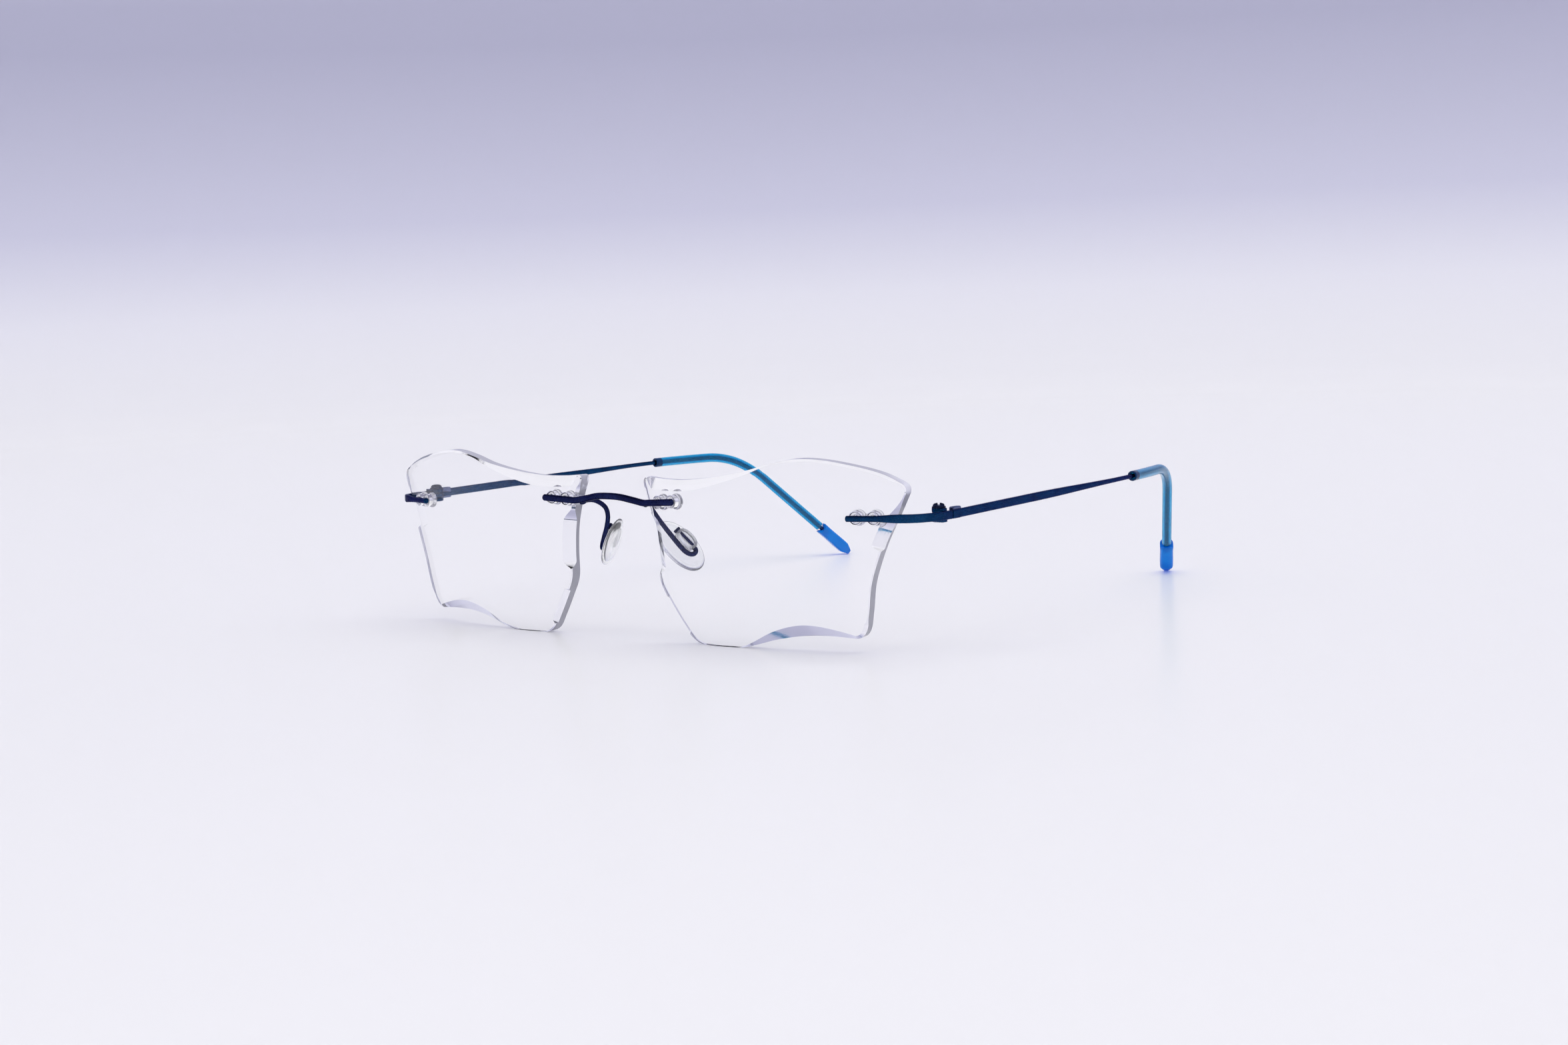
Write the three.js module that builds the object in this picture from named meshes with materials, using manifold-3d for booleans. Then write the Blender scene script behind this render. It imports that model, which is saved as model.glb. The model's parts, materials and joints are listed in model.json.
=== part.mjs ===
// Rimless eyeglasses: two drilled lenses held by a wire bridge and two wire end pieces,
// each fastened with clear double plugs, and two folding temples with translucent sleeves.
//
// Units are millimetres, +Z is up, the front faces -Y and the temples run back along +Y.
// The wearer's left is at +X. Every sided piece is drawn at +X and mirrored for the right.
// The whole pair is then moved so that its origin is the bottom centre of its own box.

import * as THREE from 'three';
import { mergeVertices } from 'three/addons/utils/BufferGeometryUtils.js';
import Module from 'manifold-3d';

const wasm = await Module();
wasm.setup();

// ---------------------------------------------------------------- driving dimensions

const lens = {
  centre: [39.5, 0, 18.34], // middle of the front surface
  wrapDeg: 7.2, // the outer side stands further back
  tiltDeg: 2.6, // the top leans forwards
  radius: 130, // front curve, about 4 dioptres
  thickness: 2.4,
  blankRadius: 37,
  blankRings: 6,
  blankSegments: 32,
  trimDepth: 20, // of the prism that trims the blank
  trimBack: -14, // where that prism starts, behind the front surface
};

const wire = {
  diameter: 1.4, // bridge
  endDiameter: 1.2, // end pieces on the lens
  padDiameter: 1.0, // pad arms
  coreDiameter: 0.95, // temple core inside the sleeve
  standOff: 0.8, // from the lens front to the wire's centre
  noseSlope: 0.055, // rise of the bridge wire on the lens, per mm outwards
};

const plug = {
  spacing: 3.7, // between the two holes of one fixing
  holeRadius: 1.3,
  tubeRadius: 1.15,
  boreRadius: 0.7,
  prongRadius: 0.5,
  flangeRadius: 1.65,
  flangeTaper: 0.88, // the flange's rear radius, as a share
  flangeThickness: 0.8,
  webWidth: 1.5,
  webRecess: 0.25, // how far the web stays below the flanges
  gap: 0.1,
  drillPast: 2, // how far the drilling runs past the lens on each side
};

const noseFixing = { x: 14.75, z: 28.98, slope: wire.noseSlope };
const templeFixing = { x: 61.5, z: 26.7, slope: 0 };

const bridge = {
  onLensX: [17.9, 16.2, 14.5, 12.8, 11.1],
  kink: { x: 9.7, z: 28.7 },
  shoulder: [6.3, -1.0, 29.2],
  top: [3.2, -1.35, 29.75],
  middle: [0, -1.5, 29.9],
};

const endPieceRun = {
  onLensX: [58.4, 60.5, 62.5, 64.5, 66.2],
  sweepBack: [[68.6, 6.65, 26.65], [70.45, 8.7, 26.55], [71.6, 12.1, 26.45], [71.95, 15.4, 26.38]],
  flattenFrom: 0.22, // fractions of its length
  flattenTo: 0.46,
};

const blade = { height: 1.7, thickness: 0.9, squareness: 5 };

const hinge = {
  x: 69.7,
  y: 18.0,
  middleZ: 26.35,
  knuckleRadius: 1.4,
  knuckleHeight: 0.85,
  knuckleGap: 0.1,
  boreRadius: 0.75,
  screwRadius: 0.6,
  headRadius: 1.3,
  headHeight: 0.9,
  slotWidth: 0.4,
  slotDepth: 0.45,
  slotTurn: 0.66, // radians from fore and aft
  bladeOffset: 2.2, // from the hinge axis to the middle of the blade
  frontEnd: 1.0, // where the end piece stops, behind the axis
  // plates beside the axis, as x and y ranges measured from it
  frontLink: { x: [0.2, 2.0], y: [-1.4, 0.85] },
  templeLink: { x: [-0.9, 1.5], y: [0.3, 3.6] },
  templeFoot: { x: [1.15, 1.95], y: [1.5, 3.6] },
  templeLug: { x: [0.6, 1.9], y: [2.2, 5.2], z: [-1.0, 1.25] },
};

// the middle line of a temple, measured from the hinge axis
const templeRun = {
  start: [2.2, 1.25, 0],
  bendTop: [-0.2, 74, 1.05],
  bendBack: [-6.7, 96.8, 0.75],
  tip: [-22.5, 121.2, -26.1],
  bendReaches: [14, 9],
  taperFrom: 30, // the blade turns round between these lengths
  taperTo: 66,
  sleeveFrom: 71.2,
};

const sleeve = { outerDiameter: 2.2, boreDiameter: 1.3, gapToCap: 0.3 };

const cap = {
  length: 10.4,
  width: 3.3,
  depth: 2.8,
  squareness: 2.8,
  boreDiameter: 1.4,
  coreDepth: 2.4,
  coreClearance: 0.3,
  stations: [0, 0.06, 0.2, 0.45, 0.7, 0.82, 0.92, 1],
  fullness: [0.94, 1.0, 0.97, 1.0, 0.98, 0.9, 0.66, 0.34],
};

const overrun = 1; // how far a boring tool runs past the piece it bores

const pad = {
  length: 12.5,
  width: 7.6,
  plateDepth: 0.8,
  bevelDepth: 0.4,
  bevelWidth: 0.9,
  centre: [9.8, 10.15, 18.7],
  upAxis: [-0.56, -0.36, 0.75], // along the pad, bottom to top
  noseSide: [-0.83, 0.31, -0.47], // out of the face that touches the nose
  boxLength: 4.4,
  boxWidth: 3.0,
  boxDepth: 1.7,
  boxShift: [0.1, 1.1], // up the pad and towards its rear edge
  boxGap: 0.1, // between the pad and its box
  boreRadius: 0.68,
  ovalness: 2.1,
  boxSquareness: 2.6,
  armStart: [[8.8, 0.35, 28.3], [8.7, 1.6, 28.5], [8.3, 3.4, 28.3], [7.4, 4.7, 27.4],
    [7.15, 5.6, 26.4], [7.6, 6.55, 24.7]],
  // the rest of the arm, as heights along the pad and distances beside the box's bore
  armHook: [[3.8, 1.8], [2.4, 1.95], [1.0, 2.1], [-0.4, 2.2], [-1.8, 2.15], [-2.85, 1.65],
    [-3.25, 0.85], [-2.95, 0.12], [-2.0, -0.02], [1.0, 0], [3.0, 0]],
};

const colours = {
  clearLens: 0xf2f4fa,
  clearPlastic: 0xeef1f5,
  navyMetal: 0x0b1437,
  blueMetal: 0x0a2d5f,
  darkSteel: 0x1c2440,
  sleeveBlue: 0x2a93cc,
  capBlue: 0x0a6cdc,
  padSilicone: 0xf4f5f8,
};

// ---------------------------------------------------------------- solids and placing

/** Keeps only positions and joins the shared corners, so that a geometry is one closed mesh. */
function welded(geometry) {
  const plain = geometry.clone();
  plain.deleteAttribute('normal');
  plain.deleteAttribute('uv');
  return mergeVertices(plain, 1e-4);
}

function solidOf(geometry) {
  const mesh = welded(geometry);
  return new wasm.Manifold(
    new wasm.Mesh({
      numProp: 3,
      vertProperties: new Float32Array(mesh.attributes.position.array),
      triVerts: new Uint32Array(mesh.index.array),
    }),
  );
}

function geometryOf(solid) {
  const mesh = solid.getMesh();
  const geometry = new THREE.BufferGeometry();
  const positions = new Float32Array(mesh.vertProperties);
  geometry.setAttribute('position', new THREE.BufferAttribute(positions, 3));
  geometry.setIndex(new THREE.BufferAttribute(new Uint32Array(mesh.triVerts), 1));
  return geometry;
}

function join(...geometries) {
  const total = geometries.map(solidOf).reduce((sum, next) => sum.add(next));
  return geometryOf(total);
}

function cut(geometry, ...tools) {
  const left = tools.map(solidOf).reduce((rest, tool) => rest.subtract(tool), solidOf(geometry));
  return geometryOf(left);
}

function mirrored(geometry) {
  const twin = welded(geometry);
  twin.scale(-1, 1, 1);
  const index = twin.index.array;
  for (let i = 0; i < index.length; i += 3) {
    [index[i], index[i + 1]] = [index[i + 1], index[i]];
  }
  return twin;
}

function vec(x, y, z) {
  return new THREE.Vector3(x, y, z);
}

/** A frame with three given axes and an origin. */
function placing(xAxis, yAxis, zAxis, origin) {
  return new THREE.Matrix4().makeBasis(xAxis, yAxis, zAxis).setPosition(origin);
}

/** A cylinder or cone whose axis is Z, from z = bottom to z = top. */
function post(bottomRadius, topRadius, bottom, top, sides = 16) {
  const height = top - bottom;
  const geometry = new THREE.CylinderGeometry(topRadius, bottomRadius, height, sides);
  geometry.rotateX(Math.PI / 2);
  geometry.translate(0, 0, (bottom + top) / 2);
  return geometry;
}

/** A box given by its low and high corners. */
function block(low, high) {
  const size = high.map((value, i) => value - low[i]);
  const geometry = new THREE.BoxGeometry(...size);
  geometry.translate(...low.map((value, i) => value + size[i] / 2));
  return geometry;
}

function evenStations(count) {
  return Array.from({ length: count + 1 }, (_, i) => i / count);
}

/**
 * A bar along a path. section(t) gives its width, height and squareness: 2 is round and
 * larger values are squarer. The height lies towards up, square to the path.
 */
function sweep(path, stations, section, up, sides = 10) {
  const steps = stations.length - 1;
  const geometry = new THREE.CylinderGeometry(1, 1, 1, sides, steps);
  const position = geometry.attributes.position;
  const point = new THREE.Vector3();
  for (let i = 0; i < position.count; i += 1) {
    point.fromBufferAttribute(position, i);
    const t = stations[Math.round((point.y + 0.5) * steps)];
    const along = path.getTangentAt(t);
    const side = along.clone().cross(up).normalize();
    const rise = side.clone().cross(along);
    const { width, height, squareness = 2 } = section(t);
    const power = Math.abs(point.x) ** squareness + Math.abs(point.z) ** squareness;
    const reach = power > 0 ? power ** (-1 / squareness) : 0;
    const place = path.getPointAt(t);
    place.addScaledVector(side, (point.x * reach * width) / 2);
    place.addScaledVector(rise, (point.z * reach * height) / 2);
    position.setXYZ(i, place.x, place.y, place.z);
  }
  return geometry;
}

function roundSection(diameter) {
  return () => ({ width: diameter, height: diameter });
}

/** Straight runs through the points, with each inner corner rounded over its own reach. */
function roundedPath(points, reaches) {
  const path = new THREE.CurvePath();
  let start = points[0];
  for (let i = 1; i < points.length - 1; i += 1) {
    const before = points[i].clone().sub(points[i - 1]).setLength(reaches[i - 1]);
    const after = points[i + 1].clone().sub(points[i]).setLength(reaches[i - 1]);
    const bendStart = points[i].clone().sub(before);
    const bendEnd = points[i].clone().add(after);
    path.add(new THREE.LineCurve3(start, bendStart));
    path.add(new THREE.QuadraticBezierCurve3(bendStart, points[i], bendEnd));
    start = bendEnd;
  }
  path.add(new THREE.LineCurve3(start, points[points.length - 1]));
  return path;
}

/** The stretch of a path between two of its fractions. */
class Stretch extends THREE.Curve {
  constructor(path, from, to) {
    super();
    this.path = path;
    this.from = from;
    this.to = to;
  }

  getPoint(t, target = new THREE.Vector3()) {
    return target.copy(this.path.getPointAt(this.from + (this.to - this.from) * t));
  }
}

// ---------------------------------------------------------------- lens

const up = vec(0, 0, 1);
const wrap = THREE.MathUtils.degToRad(lens.wrapDeg);
const tilt = THREE.MathUtils.degToRad(lens.tiltDeg);
const lensLean = new THREE.Matrix4().makeRotationX(tilt);
const lensTurn = new THREE.Matrix4().makeRotationZ(wrap).multiply(lensLean);
const lensCentre = vec(...lens.centre);
// local x runs outwards, local y up and local z out of the front of the lens
const lensAxes = new THREE.Matrix4().makeRotationX(Math.PI / 2);
const lensPlacing = lensTurn.clone().multiply(lensAxes).setPosition(lensCentre);
const lensSphereCentre = vec(0, 0, -lens.radius).applyMatrix4(lensPlacing);

/** The point on the lens front at a given x and z, moved out of it by rise. */
function onLensFront(x, z, rise = 0) {
  const reach = lens.radius + rise;
  const dx = x - lensSphereCentre.x;
  const dz = z - lensSphereCentre.z;
  return vec(x, lensSphereCentre.y - Math.sqrt(reach * reach - dx * dx - dz * dz), z);
}

/**
 * The outline seen from the front: a flared inner top corner, a hump over the outer half of
 * the top, a hollow outer side, an arched bottom that rests on its inner end, and a kinked
 * inner side. Each side lists the points between two rounded corners.
 */
function lensOutline() {
  const sides = [
    {
      corner: [-31.0, 15.4],
      points: [[-29.6, 15.3], [-25, 15.0], [-19, 15.1], [-12, 15.9], [-4, 17.3], [2, 18.8],
        [8, 19.7], [14, 19.4], [21, 18.1], [26, 16.7], [29.6, 15.0]],
    },
    {
      corner: [31.3, 14.1],
      points: [[30.5, 12.4], [28.6, 8.2], [26.4, 3.8], [24.5, -0.8], [23.1, -5.0], [22.3, -9.5],
        [21.6, -12.8]],
    },
    {
      corner: [20.9, -15.7],
      points: [[18.8, -15.7], [13, -15.4], [7, -15.6], [1, -16.5], [-4, -17.75], [-8, -18.55],
        [-10.5, -18.6], [-14, -18.6], [-17.0, -18.5]],
    },
    {
      corner: [-19.0, -18.3],
      points: [[-20.4, -16.6], [-23.0, -12.9], [-25.6, -8.8]],
    },
    {
      corner: [-27.0, -6.6],
      points: [[-27.1, -4.6], [-27.4, 0], [-27.9, 4.5], [-28.9, 9.0], [-30.4, 13.6]],
    },
  ];
  const shape = new THREE.Shape();
  shape.moveTo(...sides[0].points[0]);
  sides.forEach(({ points }, i) => {
    const next = sides[(i + 1) % sides.length];
    shape.splineThru(points.slice(1).map(([x, y]) => new THREE.Vector2(x, y)));
    shape.quadraticCurveTo(...next.corner, ...next.points[0]);
  });
  return shape;
}

/** A drilled lens: a spherical shell trimmed to the outline, in its own local frame. */
function lensBlank() {
  const { radius, thickness, blankRadius, blankRings, blankSegments, trimDepth } = lens;
  const inner = radius - thickness;
  const profile = [];
  for (let i = 0; i <= blankRings; i += 1) {
    const r = (blankRadius * i) / blankRings;
    profile.push(new THREE.Vector2(r, Math.sqrt(inner * inner - r * r) - radius));
  }
  for (let i = blankRings; i >= 0; i -= 1) {
    const r = (blankRadius * i) / blankRings;
    profile.push(new THREE.Vector2(r, Math.sqrt(radius * radius - r * r) - radius));
  }
  const shell = new THREE.LatheGeometry(profile, blankSegments);
  shell.rotateX(Math.PI / 2);
  const trimming = { depth: trimDepth, bevelEnabled: false, curveSegments: 3 };
  const prism = new THREE.ExtrudeGeometry(lensOutline(), trimming);
  prism.translate(0, 0, lens.trimBack);
  return geometryOf(solidOf(shell).intersect(solidOf(prism)));
}

// ---------------------------------------------------------------- fixings

/** Where a pair of holes sits: local x along the wire, local z into the lens. */
function fixingPlacing(x, z, slope) {
  const middle = onLensFront(x, z);
  const inwards = lensSphereCentre.clone().sub(middle).normalize();
  const along = vec(1, 0, slope);
  along.addScaledVector(inwards, -along.dot(inwards)).normalize();
  const across = inwards.clone().cross(along);
  return placing(along, across, inwards, middle);
}

const nosePlacing = fixingPlacing(noseFixing.x, noseFixing.z, noseFixing.slope);
const templePlacing = fixingPlacing(templeFixing.x, templeFixing.z, templeFixing.slope);

/** The same post at both holes of a fixing. */
function pairOfPosts(bottomRadius, topRadius, bottom, top, frame, sides = 12) {
  return [-1, 1].map((side) => {
    const geometry = post(bottomRadius, topRadius, bottom, top, sides);
    geometry.translate((side * plug.spacing) / 2, 0, 0);
    return geometry.applyMatrix4(frame);
  });
}

function holes(frame) {
  const { holeRadius, drillPast } = plug;
  return pairOfPosts(holeRadius, holeRadius, -drillPast, lens.thickness + drillPast, frame, 16);
}

function prongs(frame) {
  const end = lens.thickness + plug.gap + plug.flangeThickness;
  return pairOfPosts(plug.prongRadius, plug.prongRadius, -wire.standOff, end, frame, 8);
}

/** Two tubes through the lens with a flange and a web behind it, moulded as one piece. */
function doublePlug(frame) {
  const back = lens.thickness + plug.gap;
  const end = back + plug.flangeThickness;
  const tubes = pairOfPosts(plug.tubeRadius, plug.tubeRadius, plug.gap, end, frame);
  const rearRadius = plug.flangeRadius * plug.flangeTaper;
  const flanges = pairOfPosts(plug.flangeRadius, rearRadius, back, end, frame, 16);
  const half = plug.spacing / 2;
  const halfWidth = plug.webWidth / 2;
  const web = block([-half, -halfWidth, back], [half, halfWidth, end - plug.webRecess]);
  web.applyMatrix4(frame);
  const bores = pairOfPosts(plug.boreRadius, plug.boreRadius, -overrun, end + overrun, frame);
  return cut(join(...tubes, ...flanges, web), ...bores);
}

/** The lens with its four holes, and a small flat where its lowest stretch meets the table. */
function drilledLens() {
  const blank = lensBlank().applyMatrix4(lensPlacing);
  const reach = 2 * lens.blankRadius;
  const table = block([0, -reach, -overrun], [reach, reach, 0]);
  return cut(blank, ...holes(nosePlacing), ...holes(templePlacing), table);
}

// ---------------------------------------------------------------- bridge and pad arms

/** An open smooth curve through the points. */
function smoothPath(points) {
  return new THREE.CatmullRomCurve3(points, false, 'centripetal');
}

function bridgeWire() {
  const { onLensX, kink, shoulder, top, middle } = bridge;
  const heightAt = (x) => noseFixing.z + (x - noseFixing.x) * wire.noseSlope;
  const onLens = onLensX.map((x) => onLensFront(x, heightAt(x), wire.standOff));
  const kinkPoint = onLensFront(kink.x, kink.z, wire.standOff);
  const half = [...onLens, kinkPoint, vec(...shoulder), vec(...top)];
  const otherHalf = half.map((point) => vec(-point.x, point.y, point.z)).reverse();
  const path = smoothPath([...half, vec(...middle), ...otherHalf]);
  const bar = sweep(path, evenStations(30), roundSection(wire.diameter), up);
  const pins = prongs(nosePlacing);
  return join(bar, ...pins, ...pins.map(mirrored));
}

const padUp = vec(...pad.upAxis).normalize();
const padNose = vec(...pad.noseSide);
padNose.addScaledVector(padUp, -padNose.dot(padUp)).normalize();
const padOut = padNose.clone().negate();
// local x runs up the pad, local z out of the side that carries the box
const padPlacing = placing(padUp, padOut.clone().cross(padUp), padOut, vec(...pad.centre));
const boxBase = pad.plateDepth / 2 + pad.bevelDepth + pad.boxGap;
const boxCentre = vec(pad.boxShift[0], -pad.boxShift[1], boxBase + pad.boxDepth / 2);

function inPad(along, beside) {
  return vec(boxCentre.x + along, boxCentre.y + beside, boxCentre.z).applyMatrix4(padPlacing);
}

/** A springy wire from the back of the bridge, down beside the pad box, round and up through it. */
function padArm() {
  const start = pad.armStart.map((point) => vec(...point));
  const hook = pad.armHook.map(([along, beside]) => inPad(along, beside));
  const path = smoothPath([...start, ...hook]);
  return sweep(path, evenStations(28), roundSection(wire.padDiameter), padOut, 8);
}

function ovalShape(length, width, squareness, count) {
  const shape = new THREE.Shape();
  for (let i = 0; i < count; i += 1) {
    const angle = (i / count) * 2 * Math.PI;
    const x = Math.cos(angle);
    const y = Math.sin(angle);
    const reach = (Math.abs(x) ** squareness + Math.abs(y) ** squareness) ** (-1 / squareness);
    const point = [(x * reach * length) / 2, (y * reach * width) / 2];
    if (i === 0) {
      shape.moveTo(...point);
    } else {
      shape.lineTo(...point);
    }
  }
  shape.closePath();
  return shape;
}

function nosePad() {
  const { bevelWidth, bevelDepth, plateDepth } = pad;
  const flatLength = pad.length - 2 * bevelWidth;
  const flatWidth = pad.width - 2 * bevelWidth;
  const plate = new THREE.ExtrudeGeometry(ovalShape(flatLength, flatWidth, pad.ovalness, 24), {
    depth: plateDepth,
    bevelEnabled: true,
    bevelThickness: bevelDepth,
    bevelSize: bevelWidth,
    bevelSegments: 2,
  });
  plate.translate(0, 0, -plateDepth / 2);
  return plate.applyMatrix4(padPlacing);
}

/** The hard box on the pad's back, bored along the pad for the end of the arm. */
function padBox() {
  const shape = ovalShape(pad.boxLength, pad.boxWidth, pad.boxSquareness, 20);
  const box = new THREE.ExtrudeGeometry(shape, { depth: pad.boxDepth, bevelEnabled: false });
  box.translate(0, 0, -pad.boxDepth / 2);
  const bore = post(pad.boreRadius, pad.boreRadius, -pad.boxLength, pad.boxLength, 12);
  bore.rotateY(Math.PI / 2);
  const bored = cut(box, bore);
  bored.translate(boxCentre.x, boxCentre.y, boxCentre.z);
  return bored.applyMatrix4(padPlacing);
}

// ---------------------------------------------------------------- hinge and end piece

/** A barrel on the hinge axis with plates beside it, and the tool that bores it. */
function knuckle(level, ...links) {
  const { knuckleRadius, knuckleHeight, knuckleGap, boreRadius } = hinge;
  const middle = level * (knuckleHeight + knuckleGap);
  const low = middle - knuckleHeight / 2;
  const high = middle + knuckleHeight / 2;
  const plates = links.map(({ x, y }) => block([x[0], y[0], low], [x[1], y[1], high]));
  const barrel = post(knuckleRadius, knuckleRadius, low, high);
  const bore = post(boreRadius, boreRadius, low - overrun, high + overrun);
  return { solid: join(barrel, ...plates), bore };
}

const hingePoint = vec(hinge.x, hinge.y, hinge.middleZ);

/** The wire on the lens front, flattened into an upright blade that sweeps back to the hinge. */
function endPiece() {
  const { onLensX, sweepBack, flattenFrom, flattenTo } = endPieceRun;
  const onLens = onLensX.map((x) => onLensFront(x, templeFixing.z, wire.standOff));
  const end = vec(hinge.x + hinge.bladeOffset, hinge.y + hinge.frontEnd, hinge.middleZ);
  const path = smoothPath([...onLens, ...sweepBack.map((point) => vec(...point)), end]);
  const flatten = (t) => THREE.MathUtils.smoothstep(t, flattenFrom, flattenTo);
  const section = (t) => ({
    width: THREE.MathUtils.lerp(wire.endDiameter, blade.thickness, flatten(t)),
    height: THREE.MathUtils.lerp(wire.endDiameter, blade.height, flatten(t)),
    squareness: THREE.MathUtils.lerp(2, blade.squareness, flatten(t)),
  });
  const bar = sweep(path, evenStations(20), section, up, 12);
  const parts = [-1, 1].map((level) => knuckle(level, hinge.frontLink));
  const solids = parts.map(({ solid }) => solid.translate(...hingePoint.toArray()));
  const bores = parts.map(({ bore }) => bore.translate(...hingePoint.toArray()));
  return cut(join(bar, ...solids, ...prongs(templePlacing)), ...bores);
}

/** A domed screw through the knuckles, with a slot that is left a little askew. */
function hingeScrew() {
  const { knuckleHeight, knuckleGap, screwRadius, headRadius, headHeight, slotWidth } = hinge;
  const top = 1.5 * knuckleHeight + knuckleGap;
  const foot = knuckleGap - top;
  const seat = top + knuckleGap;
  const profile = [
    [0, foot], [screwRadius, foot], [screwRadius, seat], [headRadius, seat],
    [headRadius, seat + headHeight * 0.45], [headRadius * 0.82, seat + headHeight * 0.8],
    [headRadius * 0.45, seat + headHeight], [0, seat + headHeight],
  ].map(([x, y]) => new THREE.Vector2(x, y));
  const turned = new THREE.LatheGeometry(profile, 16);
  turned.rotateX(Math.PI / 2);
  const slotFloor = seat + headHeight - hinge.slotDepth;
  const slotTop = slotFloor + headHeight;
  const half = slotWidth / 2;
  const slot = block([-half, -2 * headRadius, slotFloor], [half, 2 * headRadius, slotTop]);
  slot.rotateZ(hinge.slotTurn);
  return cut(turned, slot).translate(...hingePoint.toArray());
}

// ---------------------------------------------------------------- temple

const templeCorners = [templeRun.start, templeRun.bendTop, templeRun.bendBack, templeRun.tip];
const templeLine = roundedPath(templeCorners.map((point) => vec(...point)), templeRun.bendReaches);
const templeLength = templeLine.getLength();
const sleeveFrom = templeRun.sleeveFrom / templeLength;
const capFrom = 1 - cap.length / templeLength;
const coreTo = capFrom + cap.coreDepth / templeLength;

/** Flat at the hinge, tapering to the round core that runs inside the sleeve. */
function temple() {
  const path = new Stretch(templeLine, 0, coreTo);
  const { taperFrom, taperTo } = templeRun;
  const taper = (t) => THREE.MathUtils.smoothstep(t * coreTo * templeLength, taperFrom, taperTo);
  const section = (t) => ({
    width: THREE.MathUtils.lerp(blade.thickness, wire.coreDiameter, taper(t)),
    height: THREE.MathUtils.lerp(blade.height, wire.coreDiameter, taper(t)),
    squareness: THREE.MathUtils.lerp(blade.squareness, 2, taper(t)),
  });
  const bar = sweep(path, evenStations(34), section, up, 12);
  const { templeLink, templeFoot, templeLug } = hinge;
  const { solid, bore } = knuckle(0, templeLink, templeFoot);
  const low = [templeLug.x[0], templeLug.y[0], templeLug.z[0]];
  const high = [templeLug.x[1], templeLug.y[1], templeLug.z[1]];
  return cut(join(bar, solid, block(low, high)), bore);
}

function templeSleeve() {
  const end = capFrom - sleeve.gapToCap / templeLength;
  const path = new Stretch(templeLine, sleeveFrom, end);
  const outer = sweep(path, evenStations(18), roundSection(sleeve.outerDiameter), up);
  const margin = overrun / templeLength;
  const hollow = new Stretch(templeLine, sleeveFrom - margin, end + margin);
  return cut(outer, sweep(hollow, evenStations(19), roundSection(sleeve.boreDiameter), up, 8));
}

/** A small blunt paddle over the end of the core, cut level where it rests on the table. */
function tipCap() {
  const path = new Stretch(templeLine, capFrom, 1);
  const section = (t) => {
    const size = cap.fullness[cap.stations.indexOf(t)];
    return { width: cap.width * size, height: cap.depth * size, squareness: cap.squareness };
  };
  const body = sweep(path, cap.stations, section, up, 12);
  const deep = cap.coreDepth + cap.coreClearance;
  const margin = overrun / templeLength;
  const hollow = new Stretch(templeLine, capFrom - margin, capFrom + deep / templeLength);
  const bore = sweep(hollow, evenStations(2), roundSection(cap.boreDiameter), up);
  const [tipX, tipY] = templeRun.tip;
  const low = [tipX - cap.length, tipY - cap.length, -hinge.middleZ - overrun];
  const high = [tipX + cap.length, tipY + cap.length, -hinge.middleZ];
  return cut(body, bore, block(low, high));
}

// ---------------------------------------------------------------- assembly

function finish(color, roughness, metalness, opacity = 1) {
  const transparent = opacity < 1;
  return new THREE.MeshStandardMaterial({ color, roughness, metalness, opacity, transparent });
}

function piece(name, geometry, material) {
  const mesh = new THREE.Mesh(welded(geometry), material);
  mesh.name = name;
  return mesh;
}

const clearLens = () => finish(colours.clearLens, 0.02, 0, 0.2);
const clearPlastic = () => finish(colours.clearPlastic, 0.08, 0, 0.4);
const navyMetal = () => finish(colours.navyMetal, 0.25, 0.7);
const blueMetal = () => finish(colours.blueMetal, 0.25, 0.7);

const sidedFrontPieces = [
  ['lens', drilledLens(), clearLens],
  ['nose_plug', doublePlug(nosePlacing), clearPlastic],
  ['temple_plug', doublePlug(templePlacing), clearPlastic],
  ['pad_arm', padArm(), navyMetal],
  ['pad_box', padBox(), clearPlastic],
  ['nose_pad', nosePad(), () => finish(colours.padSilicone, 0.15, 0, 0.35)],
  ['end_piece', endPiece(), blueMetal],
  ['hinge_screw', hingeScrew(), () => finish(colours.darkSteel, 0.3, 0.9)],
];

const sidedTemplePieces = [
  ['temple', temple(), blueMetal],
  ['temple_sleeve', templeSleeve(), () => finish(colours.sleeveBlue, 0.2, 0, 0.6)],
  ['tip_cap', tipCap(), () => finish(colours.capBlue, 0.2, 0, 0.8)],
];

const glasses = new THREE.Group();
const front = new THREE.Group();
front.add(piece('bridge', bridgeWire(), navyMetal()));
glasses.add(front);

for (const [suffix, side] of [['left', 1], ['right', -1]]) {
  const sided = (geometry) => (side > 0 ? geometry : mirrored(geometry));
  for (const [name, geometry, material] of sidedFrontPieces) {
    front.add(piece(`${name}_${suffix}`, sided(geometry), material()));
  }
  const arm = new THREE.Group();
  arm.position.set(side * hinge.x, hinge.y, hinge.middleZ);
  for (const [name, geometry, material] of sidedTemplePieces) {
    arm.add(piece(`${name}_${suffix}`, sided(geometry), material()));
  }
  glasses.add(arm);
}

const extent = new THREE.Box3().setFromObject(glasses);
glasses.position.y = -(extent.min.y + extent.max.y) / 2;
glasses.updateMatrixWorld(true);

export default glasses;
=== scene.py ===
"""The looks of a pair of rimless eyeglasses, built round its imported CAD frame.

Shapes are worked out in millimetres in the front's own frame, where y is 0 at the middle of each
lens front, and placed() turns them into metres in the row frame. The wearer's left is at +X.
Every sided piece is made at +X and mirrored for the right.
"""

import json
import math

import bmesh
import bpy
import numpy as np
from mathutils import Matrix, Vector
from mathutils.geometry import delaunay_2d_cdt


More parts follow.
